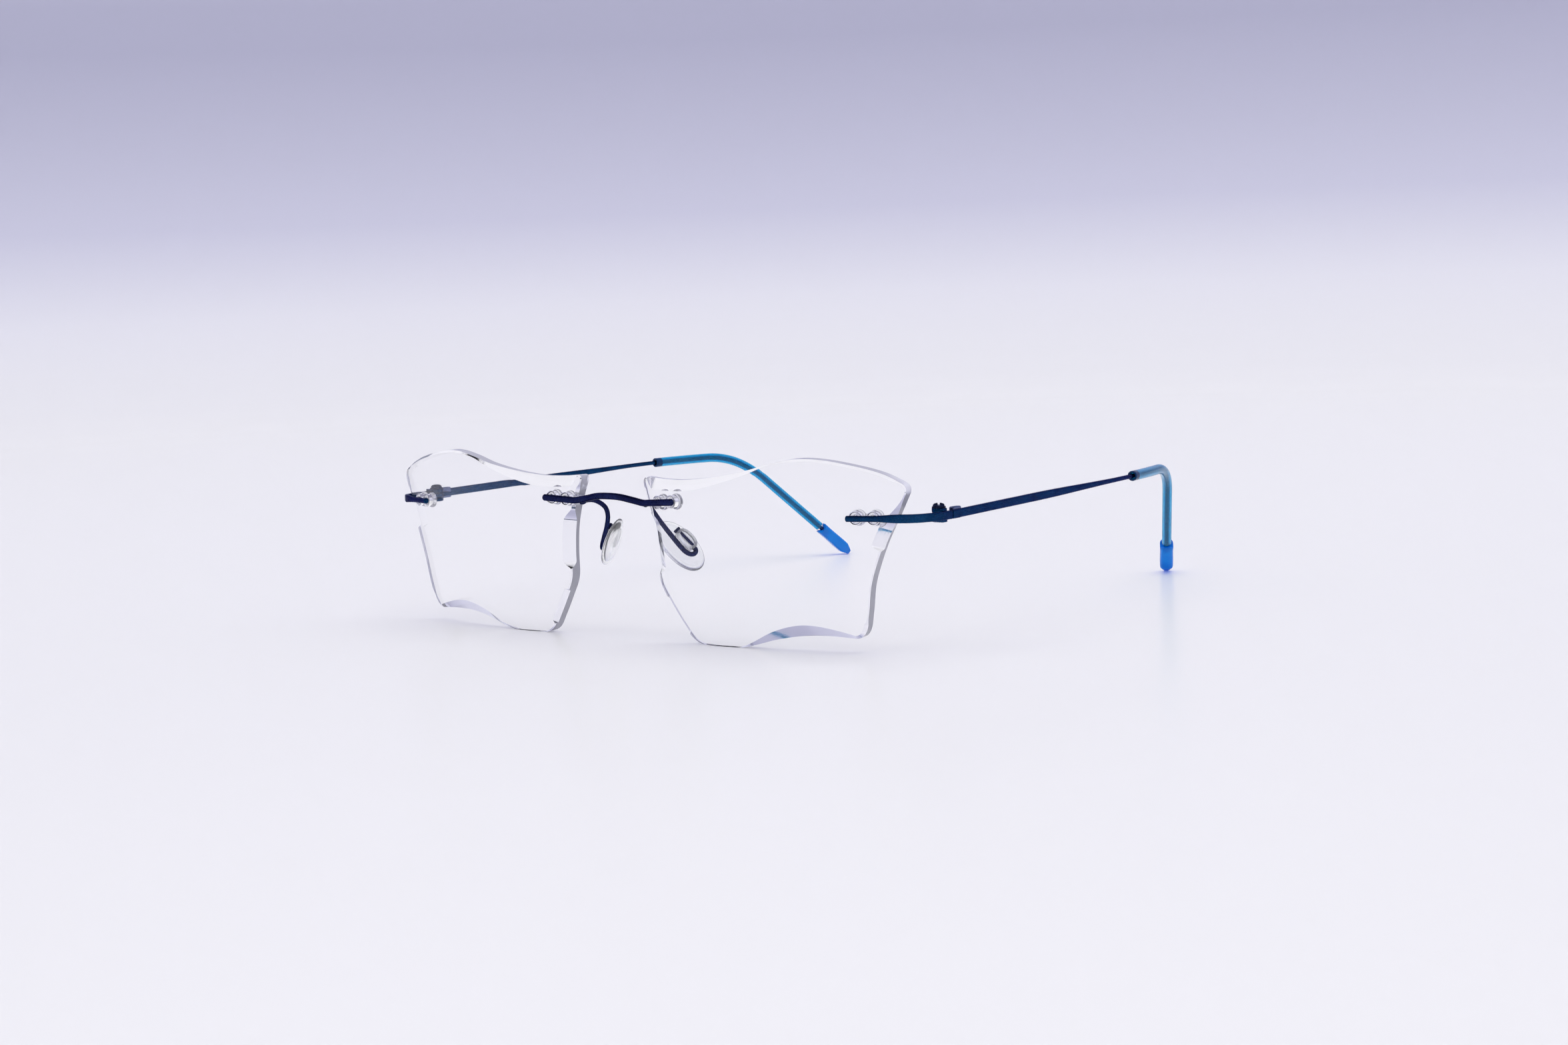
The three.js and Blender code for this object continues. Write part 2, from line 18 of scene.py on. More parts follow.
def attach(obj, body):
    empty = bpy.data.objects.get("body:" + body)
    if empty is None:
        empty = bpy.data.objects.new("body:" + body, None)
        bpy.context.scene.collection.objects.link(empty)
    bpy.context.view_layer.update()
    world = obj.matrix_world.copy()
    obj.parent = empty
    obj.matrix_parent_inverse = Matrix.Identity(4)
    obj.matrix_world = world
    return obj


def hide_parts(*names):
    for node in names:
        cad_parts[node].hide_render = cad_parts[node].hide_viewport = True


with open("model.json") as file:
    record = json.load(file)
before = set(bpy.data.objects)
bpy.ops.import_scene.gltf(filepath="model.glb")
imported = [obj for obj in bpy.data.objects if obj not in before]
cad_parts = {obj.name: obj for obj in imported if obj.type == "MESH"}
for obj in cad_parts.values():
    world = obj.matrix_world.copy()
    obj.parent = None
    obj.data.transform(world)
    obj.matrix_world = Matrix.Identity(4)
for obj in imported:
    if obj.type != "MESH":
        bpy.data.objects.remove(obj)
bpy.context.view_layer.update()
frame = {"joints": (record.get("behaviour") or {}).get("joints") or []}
scene = bpy.context.scene

# ------------------------------------------------------------------ driving dimensions, mm

MM = 0.001
hinge_joint = next(j for j in frame["joints"] if j["name"] == "temple_hinge_left")
HINGE_FRONT_Y = 18.0  # the hinge axis in the front's own frame
HINGE = np.array([hinge_joint["pos_m"][0] / MM, HINGE_FRONT_Y, hinge_joint["pos_m"][2] / MM])
ROW_SHIFT_Y = hinge_joint["pos_m"][1] / MM - HINGE_FRONT_Y

UP = np.array([0.0, 0.0, 1.0])

LENS_CENTRE = np.array([39.5, 0.0, 18.34])
LENS_WRAP, LENS_TILT = math.radians(7.2), math.radians(2.6)
LENS_RADIUS, LENS_THICKNESS = 130.0, 2.4
LENS_EDGE = 0.2  # the small polished bevel on every lens edge
LENS_STEP = 0.25  # between points along the outline
LENS_GRID = 1.1  # between points on the faces
GRID_CLEARANCE = 0.55 * LENS_GRID  # from those points to the edges

# Each side of the lens outline: the rounded corner before it, then the points along it, seen
# from the front with x outwards.
LENS_SIDES = (
    ((-31.0, 15.4), [(-29.6, 15.3), (-25, 15.0), (-19, 15.1), (-12, 15.9), (-4, 17.3), (2, 18.8),
                     (8, 19.7), (14, 19.4), (21, 18.1), (26, 16.7), (29.6, 15.0)]),
    ((31.3, 14.1), [(30.5, 12.4), (28.6, 8.2), (26.4, 3.8), (24.5, -0.8), (23.1, -5.0),
                    (22.3, -9.5), (21.6, -12.8)]),
    ((20.9, -15.7), [(18.8, -15.7), (13, -15.4), (7, -15.6), (1, -16.5), (-4, -17.75),
                     (-8, -18.55), (-10.5, -18.6), (-14, -18.6), (-17.0, -18.5)]),
    ((-19.0, -18.3), [(-20.4, -16.6), (-23.0, -12.9), (-25.6, -8.8)]),
    ((-27.0, -6.6), [(-27.1, -4.6), (-27.4, 0), (-27.9, 4.5), (-28.9, 9.0), (-30.4, 13.6)]),
)
# The polished facets on the front edge: side, from and to as fractions of that side, the
# fractions over which the width grows and fades, and the width.
FACETS = (
    (0, 0.00, 0.52, 0.05, 0.34, 2.1),
    (0, 0.50, 0.99, 0.10, 0.05, 0.45),
    (1, 0.02, 0.405, 0.25, 0.008, 2.1),
    (2, -0.10, 0.62, 0.34, 0.38, 2.4),
    (3, 0.02, 0.98, 0.06, 0.06, 1.0),
    (4, 0.01, 0.76, 0.10, 0.22, 2.2),
    (4, 0.01, 0.99, 0.10, 0.08, 0.6),
)
FACET_SLOPE = 0.6  # depth gained for each mm of width
FACET_DEEPEST = 0.62 * LENS_THICKNESS

BRIDGE_WIRE, END_WIRE, ARM_WIRE, CORE_WIRE = 1.4, 1.2, 1.0, 0.95
WIRE_ROUNDING = 0.3  # of the bridge's ends
WIRE_STAND_OFF = 0.8  # from the lens front to the wire's centre
NOSE_FIXING = (14.75, 28.98, 0.055)  # x, z and rise of the wire
TEMPLE_FIXING = (61.5, 26.7, 0.0)
PLUG_SPACING, TUBE_RADIUS, PLUG_BORE, PRONG_RADIUS = 3.7, 1.15, 0.7, 0.5
HOLE_RADIUS, HOLE_CHAMFER, HOLE_SIDES = 1.3, 0.12, 40
HOLE_OFFSETS = (-PLUG_SPACING / 2, PLUG_SPACING / 2)
FLANGE_RADIUS, FLANGE_THICKNESS, FLANGE_ROUNDING = 1.65, 0.8, 0.32
PLUG_WEB, PLUG_WEB_SUNK, PLUG_GAP = 1.5, 0.2, 0.1
PLUG_VOXEL = 0.11  # how finely the plug's parts are run together

BRIDGE_ON_LENS = (17.9, 16.2, 14.5, 12.8, 11.1)  # x of the points where it lies on the lens
BRIDGE_KINK = (9.7, 28.7)
BRIDGE_ARCH = ((6.3, -1.0, 29.2), (3.2, -1.35, 29.75))
BRIDGE_MIDDLE = (0.0, -1.5, 29.9)

PAD_LENGTH, PAD_WIDTH, PAD_DEPTH = 12.5, 7.6, 1.6
PAD_CENTRE = np.array([9.8, 10.15, 18.7])
PAD_UP_AXIS = np.array([-0.56, -0.36, 0.75])
PAD_NOSE_SIDE = np.array([-0.83, 0.31, -0.47])
BOX_LENGTH, BOX_WIDTH, BOX_DEPTH, BOX_BORE = 5.0, 3.3, 1.8, 0.66
BOX_ALONG, BOX_ACROSS, BOX_ABOVE_PAD = 0.1, -1.1, 0.1
ARM_FOOT = np.array([0.15, -0.35, 0.15])  # from the first point of the arm to its soldered end
ARM_START = ((8.8, 0.35, 28.3), (8.7, 1.6, 28.5), (8.3, 3.4, 28.3), (7.4, 4.7, 27.4),
             (7.15, 5.6, 26.4), (7.6, 6.55, 24.7))
# The rest of the arm, along and across the pad, from the middle of the pad box.
ARM_HOOK = ((3.8, 1.8), (2.4, 1.95), (1.0, 2.1), (-0.4, 2.2), (-1.8, 2.15), (-2.85, 1.65),
            (-3.25, 0.85), (-2.95, 0.12), (-2.0, -0.02), (1.0, 0), (3.0, 0))
ARM_SWELLING = 0.35  # of the solder at the foot, and of the squared end's width
ARM_FLARE = (0.1, 1.3)  # where the solder thins out, from the foot
ARM_SQUARED = (0.9, 0.5)  # where the wire turns square, from its end

BLADE_HEIGHT, BLADE_THICKNESS, BLADE_SQUARENESS = 1.7, 0.9, 5.0
END_ON_LENS = (58.4, 60.5, 62.5, 64.5, 66.2)
END_SWEEP = ((68.6, 6.65, 26.65), (70.45, 8.7, 26.55), (71.6, 12.1, 26.45), (71.95, 15.4, 26.38))
END_BEHIND_AXIS, END_FLATTEN = 1.0, (0.22, 0.46)
BLADE_OFFSET = 2.2  # from the hinge axis to the middle of the blade
KNUCKLE_RADIUS, KNUCKLE_HEIGHT, KNUCKLE_GAP, KNUCKLE_BORE = 1.4, 0.85, 0.1, 0.75
# Plates that tie the knuckles to the blades: x from and to, y from and to, from the hinge axis.
END_PLATE = (0.2, 1.85, -1.3, 0.2)
TEMPLE_PLATES = ((-0.9, 1.5, 0.3, 3.6), (1.15, 1.95, 1.5, 3.6))
LUG_LOW, LUG_HIGH = (0.6, 2.4, -1.0), (1.9, 5.0, 1.35)  # from the hinge axis
LUG_ROUNDING = 0.3
SCREW_RADIUS, SCREW_HEAD, SCREW_HEAD_HEIGHT, SCREW_LIFT = 0.6, 1.3, 0.9, 0.06
SLOT_WIDTH, SLOT_DEPTH, SLOT_TURN = 0.45, 0.45, 0.66

# The temple's run from the hinge axis, and how far from each bend it starts to turn.
TEMPLE_CORNERS = ((2.2, 1.25, 0), (-0.2, 74, 1.05), (-6.7, 96.8, 0.75), (-22.5, 121.2, -26.1))
TEMPLE_BENDS = (14, 9)
TEMPLE_TAPER = (30, 66)  # lengths along the temple, as is the next one
SLEEVE_FROM, SLEEVE_DIAMETER, SLEEVE_BORE, SLEEVE_GAP = 71.2, 2.2, 1.3, 0.3
SLEEVE_LIP, SLEEVE_STEP, SLEEVE_SIDES = 0.14, 0.5, 40
SLEEVE_DARK_END = 1.4  # the length of its front end that is pressed tight on the temple
CAP_LENGTH, CAP_WIDTH, CAP_THICKNESS, CAP_SQUARENESS, CAP_BORE = 10.4, 3.1, 2.8, 4.5, 1.4
CAP_SIDES = 48
CAP_SCOOP, CAP_SCOOP_FADE = 0.75, 1.2  # depth of its mouth, and how fast it fades inwards
CORE_IN_CAP, CAP_BORE_BEYOND = 2.4, 0.3

FLOOR_DROP = 0.02  # the floor is this far below the feet of the pair

# ------------------------------------------------------------------ small geometry helpers


def unit(vector):
    return vector / np.linalg.norm(vector)


def smoothstep(value, low, high):
    t = np.clip((value - low) / (high - low), 0, 1)
    return t * t * (3 - 2 * t)


def hermite(p1, p2, t1, t2, steps):
    """Points from p1 up to but not at p2, with the given end tangents."""
    t = np.linspace(0, 1, steps, endpoint=False)[:, None]
    return (
        (2 * t**3 - 3 * t**2 + 1) * p1
        + (t**3 - 2 * t**2 + t) * t1
        + (3 * t**2 - 2 * t**3) * p2
        + (t**3 - t**2) * t2
    )


def smooth_points(points, steps=40):
    """A centripetal Catmull-Rom curve through the points, as short straight steps."""
    p = np.array(points, float)
    p = np.vstack([2 * p[0] - p[1], p, 2 * p[-1] - p[-2]])
    made = []
    for i in range(1, len(p) - 2):
        gaps = [math.sqrt(np.linalg.norm(p[i + k + 1] - p[i + k])) for k in (-1, 0, 1)]
        d0, d1, d2 = gaps
        t1 = (p[i] - p[i - 1]) / d0 - (p[i + 1] - p[i - 1]) / (d0 + d1) + (p[i + 1] - p[i]) / d1
        t2 = (p[i + 1] - p[i]) / d1 - (p[i + 2] - p[i]) / (d1 + d2) + (p[i + 2] - p[i + 1]) / d2
        made.append(hermite(p[i], p[i + 1], t1 * d1, t2 * d1, steps))
    return np.vstack([*made, p[-2:-1]])


def rounded_points(corners, reaches, steps=60):
    """Straight runs through the corners, with each inner corner rounded over its reach."""
    corners = [np.array(c, float) for c in corners]
    made = [corners[0][None]]
    for before, corner, after, reach in zip(corners, corners[1:], corners[2:], reaches):
        start = corner + unit(before - corner) * reach
        end = corner + unit(after - corner) * reach
        t = np.linspace(0, 1, steps)[:, None]
        bend = (1 - t) ** 2 * start + 2 * t * (1 - t) * corner + t**2 * end
        run = np.linspace(made[-1][-1], start, steps, endpoint=False)[1:]
        made += [run, bend]
    made.append(np.linspace(made[-1][-1], corners[-1], steps)[1:])
    return np.vstack(made)


class Path:
    """A line measured by its length."""

    def __init__(self, points):
        self.points = points
        steps = np.linalg.norm(np.diff(points, axis=0), axis=1)
        self.marks = np.concatenate([[0], np.cumsum(steps)])
        self.length = self.marks[-1]

    def at(self, s):
        beyond = s - np.clip(s, 0, self.length)
        inside = s - beyond
        place = np.array([np.interp(inside, self.marks, self.points[:, k]) for k in range(3)])
        return place + self.along(inside) * beyond

    def along(self, s):
        """The direction at s, taken over a short stretch on both sides."""
        reach = 0.25
        low, high = max(s - reach, 0), min(s + reach, self.length)
        ends = [
            np.array([np.interp(x, self.marks, self.points[:, k]) for k in range(3)])
            for x in (low, high)
        ]
        return unit(ends[1] - ends[0])


def ring(path, s, width, height, squareness, up, sides):
    """A cross-section: 2 is round and larger numbers are squarer."""
    along = path.along(s)
    side = unit(np.cross(along, up))
    rise = np.cross(side, along)
    turn = np.arange(sides) * 2 * math.pi / sides
    power = 2 / squareness
    x = np.sign(np.cos(turn)) * np.abs(np.cos(turn)) ** power * width / 2
    y = np.sign(np.sin(turn)) * np.abs(np.sin(turn)) ** power * height / 2
    return path.at(s) + x[:, None] * side + y[:, None] * rise


def lofted(rings, closed=False):
    """Vertices and faces through equal rings, capped, or joined end to start if closed."""
    count, sides = len(rings), len(rings[0])
    pairs = [(i, (i + 1) % count) for i in range(count if closed else count - 1)]
    faces = [
        (a * sides + k, a * sides + (k + 1) % sides, b * sides + (k + 1) % sides, b * sides + k)
        for a, b in pairs
        for k in range(sides)
    ]
    if not closed:
        faces.append(tuple(reversed(range(sides))))
        faces.append(tuple(range((count - 1) * sides, count * sides)))
    return mesh_of(np.vstack(rings), faces)


def mesh_of(points, faces):
    mesh = bpy.data.meshes.new("work")
    mesh.from_pydata([tuple(p) for p in points], [], faces)
    shape = bmesh.new()
    shape.from_mesh(mesh)
    bmesh.ops.recalc_face_normals(shape, faces=shape.faces)
    shape.to_mesh(mesh)
    shape.free()
    return mesh


def end_stops(length, step, roundings):
    """Stops along a bar, each with how far its rounded ends pull the section in there."""
    turns = [math.radians(a) for a in (90, 60, 35, 12)]
    start, end = roundings
    first = [(start * (1 - math.sin(a)), start * (1 - math.cos(a))) for a in turns]
    last = [(length - end * (1 - math.sin(a)), end * (1 - math.cos(a))) for a in turns]
    count = max(2, round((length - start - end) / step))
    middle = [(s, 0.0) for s in np.linspace(start, length - end, count)]
    return [*first, *middle, *reversed(last)]


def bar(path, section, up, sides=24, step=0.4, roundings=(0.18, 0.18)):
    """A solid bar along a whole path. section(s) gives width, height and squareness."""
    rings = []
    for s, pull in end_stops(path.length, step, roundings):
        width, height, squareness = section(s)
        rings.append(ring(path, s, width - 2 * pull, height - 2 * pull, squareness, up, sides))
    return lofted(rings)


def round_wire(diameter):
    return lambda s: (diameter, diameter, 2.0)


def turned(profile, sides=32):
    """A solid of revolution about Z. The profile is radius and height from bottom to top."""
    turn = np.arange(sides) * 2 * math.pi / sides
    rings = [
        np.stack([r * np.cos(turn), r * np.sin(turn), np.full(sides, z)], axis=1)
        for r, z in profile
    ]
    return lofted(rings)


def rounded_post(radius, bottom, top, rounding, sides=32):
    low = [(radius - rounding * (1 - math.sin(a)), bottom + rounding * (1 - math.cos(a)))
           for a in np.radians((0, 30, 60, 90))]
    high = [(r, top + bottom - z) for r, z in reversed(low)]
    return turned([*low, *high], sides)


def rounded_block(low, high, rounding):
    shape = bmesh.new()
    bmesh.ops.create_cube(shape, size=1)
    low, high = np.array(low, float), np.array(high, float)
    for vertex in shape.verts:
        vertex.co = Vector((low + high) / 2 + np.array(vertex.co) * (high - low))
    bmesh.ops.bevel(shape, geom=shape.edges[:], offset=rounding, segments=3, profile=0.5,
                    affect="EDGES")
    mesh = bpy.data.meshes.new("work")
    shape.to_mesh(mesh)
    shape.free()
    return mesh


def moved(mesh, matrix):
    mesh.transform(matrix)
    return mesh


def axes_matrix(x_axis, y_axis, z_axis, origin):
    matrix = np.eye(4)
    matrix[:3, 0], matrix[:3, 1], matrix[:3, 2], matrix[:3, 3] = x_axis, y_axis, z_axis, origin
    return Matrix(matrix.tolist())


def with_modifier(mesh, kind, **settings):
    """The mesh after one modifier."""
    holder = bpy.data.objects.new("work", mesh)
    scene.collection.objects.link(holder)
    modifier = holder.modifiers.new("work", kind)
    for key, value in settings.items():
        setattr(modifier, key, value)
    graph = bpy.context.evaluated_depsgraph_get()
    graph.update()
    made = bpy.data.meshes.new_from_object(holder.evaluated_get(graph))
    bpy.data.objects.remove(holder)
    return made


def combined(mesh, others, operation):
    """One mesh joined with others or cut by them."""
    for other in others:
        tool = bpy.data.objects.new("tool", other)
        scene.collection.objects.link(tool)
        mesh = with_modifier(mesh, "BOOLEAN", object=tool, operation=operation, solver="EXACT")
        bpy.data.objects.remove(tool)
    return mesh


def fused(meshes, voxel, smoothing=6):
    """One moulded skin round all the meshes, with soft inner corners."""
    points, faces = [], []
    for mesh in meshes:
        start = len(points)
        points += [tuple(v.co) for v in mesh.vertices]
        faces += [tuple(start + i for i in p.vertices) for p in mesh.polygons]
    skin = with_modifier(mesh_of(points, faces), "REMESH", mode="VOXEL", voxel_size=voxel)
    return with_modifier(skin, "SMOOTH", iterations=smoothing, factor=0.5)


# ------------------------------------------------------------------ the lens surface


def turn_about(axis, angle):
    return np.array(Matrix.Rotation(angle, 3, axis))


LENS_AXES = turn_about("Z", LENS_WRAP) @ turn_about("X", LENS_TILT) @ turn_about("X", math.pi / 2)
LENS_SPHERE = LENS_CENTRE - LENS_AXES[:, 2] * LENS_RADIUS


def lens_point(uv, depth):
    """Local points across the lens, with depth behind the front surface's own pole, in mm."""
    local = np.column_stack([uv, -np.asarray(depth)])
    return LENS_CENTRE + local @ LENS_AXES.T


def front_depth(uv, below=0.0):
    """How deep the front surface, or one that far below it, lies at each local point."""
    radius = LENS_RADIUS - below
    return LENS_RADIUS - np.sqrt(radius**2 - (uv**2).sum(axis=1))


def on_lens_front(x, z, rise=0.0):
    """The point above the lens front at a given x and z."""
    reach = LENS_RADIUS + rise
    dx, dz = x - LENS_SPHERE[0], z - LENS_SPHERE[2]
    return np.array([x, LENS_SPHERE[1] - math.sqrt(reach**2 - dx**2 - dz**2), z])


def fixing_frame(fixing):
    """x along the wire, z into the lens, and the middle of the pair of holes."""
    x, z, slope = fixing
    middle = on_lens_front(x, z)
    inwards = unit(LENS_SPHERE - middle)
    along = np.array([1.0, 0.0, slope])
    along = unit(along - inwards * along.dot(inwards))
    return along, np.cross(inwards, along), inwards, middle


NOSE_FRAME, TEMPLE_FRAME = fixing_frame(NOSE_FIXING), fixing_frame(TEMPLE_FIXING)


def in_fixing(mesh, fixing, offset):
    """Moves a mesh drawn about Z to that far along a fixing from its middle."""
    along, across, inwards, middle = fixing
    return moved(mesh, axes_matrix(along, across, inwards, middle + along * offset))


# ------------------------------------------------------------------ lens


def lens_outline():
    """The outline as evenly spaced points, each with its side and its fraction along it."""
    points, sides = [], []
    for i, (_, stops) in enumerate(LENS_SIDES):
        stops = np.array(stops, float)
        padded = np.vstack([stops[0], stops, stops[-1]])
        run = [
            hermite(b, c, (c - a) / 2, (d - b) / 2, 16)
            for a, b, c, d in zip(padded, padded[1:], padded[2:], padded[3:])
        ]
        run = np.vstack([*run, stops[-1:]])
        corner, following = LENS_SIDES[(i + 1) % len(LENS_SIDES)]
        t = np.linspace(0, 1, 16)[1:-1, None]
        bend = (1 - t) ** 2 * stops[-1] + 2 * t * (1 - t) * np.array(corner)
        bend = bend + t**2 * np.array(following[0])
        points += [run, bend]
        sides += [i + np.linspace(0, 0.999, len(run)), np.full(len(bend), i + 0.999)]
    points, sides = np.vstack(points), np.concatenate(sides)
    loop = np.vstack([points, points[:1]])
    marks = np.concatenate([[0], np.cumsum(np.linalg.norm(np.diff(loop, axis=0), axis=1))])
    stops = np.linspace(0, marks[-1], round(marks[-1] / LENS_STEP), endpoint=False)
    even = np.column_stack([np.interp(stops, marks, loop[:, k]) for k in (0, 1)])
    return even, np.interp(stops, marks, np.append(sides, len(LENS_SIDES)))


def facet_width(where):
    """How wide the front bevel is at each place along the outline."""
    width = np.full(len(where), LENS_EDGE)
    for side, start, end, growth, fade, most in FACETS:
        grow = smoothstep(where, side + start, side + start + growth)
        shrink = 1 - smoothstep(where, side + end - fade, side + end)
        width = np.maximum(width, LENS_EDGE + (most - LENS_EDGE) * grow * shrink)
    return width


def inward_normals(loop):
    tangent = np.roll(loop, -2, axis=0) - np.roll(loop, 2, axis=0)
    normal = np.column_stack([tangent[:, 1], -tangent[:, 0]])
    normal /= np.linalg.norm(normal, axis=1)[:, None]
    middle = loop.mean(axis=0)
    facing = ((middle - loop) * normal).sum()
    return normal if facing > 0 else -normal


def hole_loop(fixing, offset, radius, depth):
    """A circle round a hole's axis, as local points across the lens."""
    along, across, inwards, middle = fixing
    turn = np.arange(HOLE_SIDES) * 2 * math.pi / HOLE_SIDES
    centre = middle + along * offset + inwards * depth
    circle = centre + radius * (np.cos(turn)[:, None] * along + np.sin(turn)[:, None] * across)
    return ((circle - LENS_CENTRE) @ LENS_AXES)[:, :2]


def within(points, loop):
    """Which points lie inside a closed loop."""
    x, y = points[:, :1], points[:, 1:]
    start, end = loop, np.roll(loop, -1, axis=0)
    spans = (start[:, 1] > y) != (end[:, 1] > y)
    rise = end[:, 1] - start[:, 1]
    rise[rise == 0] = 1  # level stretches span nothing
    crossing = start[:, 0] + (y - start[:, 1]) * (end[:, 0] - start[:, 0]) / rise
    return (spans & (x < crossing)).sum(axis=1) % 2 == 1


def filled(outer, holes):
    """Triangles between an outer loop and hole loops, with an even grid of inner points.

    Gives the points, the triangles, and for each point the loop points it came from.
    """
    loops = [outer, *holes]
    edge_points = np.vstack(loops)

    def solid(places):
        inside = within(places, outer)
        for hole in holes:
            inside &= ~within(places, hole)
        return inside

    low, high = outer.min(axis=0), outer.max(axis=0)
    rows = np.arange(low[1], high[1], LENS_GRID * math.sqrt(3) / 2)
    across = [np.arange(low[0] + (i % 2) * LENS_GRID / 2, high[0], LENS_GRID)
              for i in range(len(rows))]
    grid = np.vstack([np.column_stack([x, np.full(len(x), y)]) for x, y in zip(across, rows)])
    gap = np.array([np.min(((edge_points - p) ** 2).sum(axis=1)) for p in grid])
    grid = grid[(gap > GRID_CLEARANCE**2) & solid(grid)]
    points = np.vstack([edge_points, grid])
    starts = np.cumsum([0, *[len(loop) for loop in loops]])
    edges = [(k, k + 1 if k + 1 < end else int(start))
             for start, end in zip(starts, starts[1:]) for k in range(start, end)]
    made = delaunay_2d_cdt([Vector(p) for p in points], edges, [], 0, 1e-7)
    placed_points = np.array([tuple(p) for p in made[0]])
    corners = np.array([tuple(f) for f in made[2]])
    kept = corners[solid(placed_points[corners].mean(axis=1))]
    return placed_points, [tuple(int(i) for i in f) for f in kept], made[3]


def lens():
    """A clear shell between two spheres, drilled, with polished edges and front facets."""
    outline, where = lens_outline()
    inwards = inward_normals(outline)
    width = facet_width(where)
    back = LENS_THICKNESS
    holes = [(fixing, offset) for fixing in (NOSE_FRAME, TEMPLE_FRAME) for offset in HOLE_OFFSETS]

    def hole_mouths(depth):
        return [hole_loop(*hole, HOLE_RADIUS + HOLE_CHAMFER, depth) for hole in holes]

    front_uv, front_faces, front_from = filled(outline + inwards * width[:, None], hole_mouths(0))
    back_uv, back_faces, back_from = filled(outline + inwards * LENS_EDGE, hole_mouths(back))
    back_start = len(front_uv)
    points = [lens_point(front_uv, front_depth(front_uv)),
              lens_point(back_uv, front_depth(back_uv, back))]
    faces = [*front_faces, *[tuple(i + back_start for i in reversed(f)) for f in back_faces]]
    edge_faces = []

    def new_loop(uv, depth):
        start = sum(len(p) for p in points)
        points.append(lens_point(uv, depth))
        return list(range(start, start + len(uv)))

    def face_loop(origins, first, size, offset):
        """Where the points of one loop of a filled face ended up."""
        place = {origin: i for i, shared in enumerate(origins) for origin in shared}
        return [place[first + k] + offset for k in range(size)]

    def band(a, b):
        for k in range(len(a)):
            n = (k + 1) % len(a)
            edge_faces.append((a[k], b[k], b[n], a[n]))

    drop = np.minimum(FACET_SLOPE * width + LENS_EDGE / 2, FACET_DEEPEST)
    front_loop = face_loop(front_from, 0, len(outline), 0)
    facet_foot = new_loop(outline, front_depth(outline) + drop)
    rim_foot = new_loop(outline, front_depth(outline, back) - LENS_EDGE)
    back_loop = face_loop(back_from, 0, len(outline), back_start)
    band(front_loop, facet_foot)
    facet_end = len(edge_faces)
    band(facet_foot, rim_foot)
    rim_end = len(edge_faces)
    band(rim_foot, back_loop)
    for i, hole in enumerate(holes):
        first = len(outline) + i * HOLE_SIDES
        upper = hole_loop(*hole, HOLE_RADIUS, HOLE_CHAMFER)
        lower = hole_loop(*hole, HOLE_RADIUS, back - HOLE_CHAMFER)
        chain = [
            face_loop(front_from, first, HOLE_SIDES, 0),
            new_loop(upper, front_depth(upper, HOLE_CHAMFER)),
            new_loop(lower, front_depth(lower, back - HOLE_CHAMFER)),
            face_loop(back_from, first, HOLE_SIDES, back_start),
        ]
        for a, b in zip(chain, chain[1:]):
            band(a, b)
    points = np.vstack(points)
    points[:, 2] = np.maximum(points[:, 2], 0)  # the foot is ground flat where it stands
    mesh = mesh_of(points, [*faces, *edge_faces])
    for polygon in mesh.polygons:
        place = polygon.index - len(faces)
        polygon.material_index = 0 if place < 0 else 2 if facet_end <= place < rim_end else 1
    return mesh


# ------------------------------------------------------------------ front pieces


def prongs(fixing):
    end = LENS_THICKNESS + PLUG_GAP + FLANGE_THICKNESS
    return [
        in_fixing(rounded_post(PRONG_RADIUS, -WIRE_STAND_OFF, end, 0.12), fixing, offset)
        for offset in HOLE_OFFSETS
    ]


def mirror_image(mesh):
    twin = mesh.copy()
    twin.transform(Matrix.Scale(-1, 4, (1, 0, 0)))
    twin.flip_normals()
    return twin


def bridge():
    x0, z0, slope = NOSE_FIXING
    on_lens = [on_lens_front(x, z0 + (x - x0) * slope, WIRE_STAND_OFF) for x in BRIDGE_ON_LENS]
    kink = on_lens_front(*BRIDGE_KINK, WIRE_STAND_OFF)
    half = [*on_lens, kink, *[np.array(p) for p in BRIDGE_ARCH]]
    other = [p * np.array([-1, 1, 1]) for p in reversed(half)]
    path = Path(smooth_points([*half, np.array(BRIDGE_MIDDLE), *other]))
    wire = bar(path, round_wire(BRIDGE_WIRE), UP, 32, 0.3, (WIRE_ROUNDING, WIRE_ROUNDING))
    pins = prongs(NOSE_FRAME)
    return combined(wire, [*pins, *[mirror_image(p) for p in pins]], "UNION")


def double_plug(fixing):
    """Two tubes through the lens with flanges and a web behind it, moulded in one."""
    back = LENS_THICKNESS + PLUG_GAP
    end = back + FLANGE_THICKNESS
    parts = []
    for offset in HOLE_OFFSETS:
        tube = rounded_post(TUBE_RADIUS, 0.05, end, 0.15)
        flange = rounded_post(FLANGE_RADIUS, back, end, FLANGE_ROUNDING)
        parts += [in_fixing(tube, fixing, offset), in_fixing(flange, fixing, offset)]
    web = rounded_block((HOLE_OFFSETS[0], -PLUG_WEB / 2, back),
                        (HOLE_OFFSETS[1], PLUG_WEB / 2, end - PLUG_WEB_SUNK), 0.15)
    parts.append(in_fixing(web, fixing, 0))
    skin = fused(parts, PLUG_VOXEL, 4)
    bores = [
        in_fixing(rounded_post(PLUG_BORE, -1, end + 1, 0.05, 24), fixing, offset)
        for offset in HOLE_OFFSETS
    ]
    return combined(skin, bores, "DIFFERENCE")


PAD_UP = unit(PAD_UP_AXIS)
PAD_OUT = -unit(PAD_NOSE_SIDE - PAD_UP * PAD_NOSE_SIDE.dot(PAD_UP))
PAD_ACROSS = np.cross(PAD_OUT, PAD_UP)
PAD_MATRIX = axes_matrix(PAD_UP, PAD_ACROSS, PAD_OUT, PAD_CENTRE)
BOX_CENTRE = np.array([BOX_ALONG, BOX_ACROSS, PAD_DEPTH / 2 + BOX_ABOVE_PAD + BOX_DEPTH / 2])


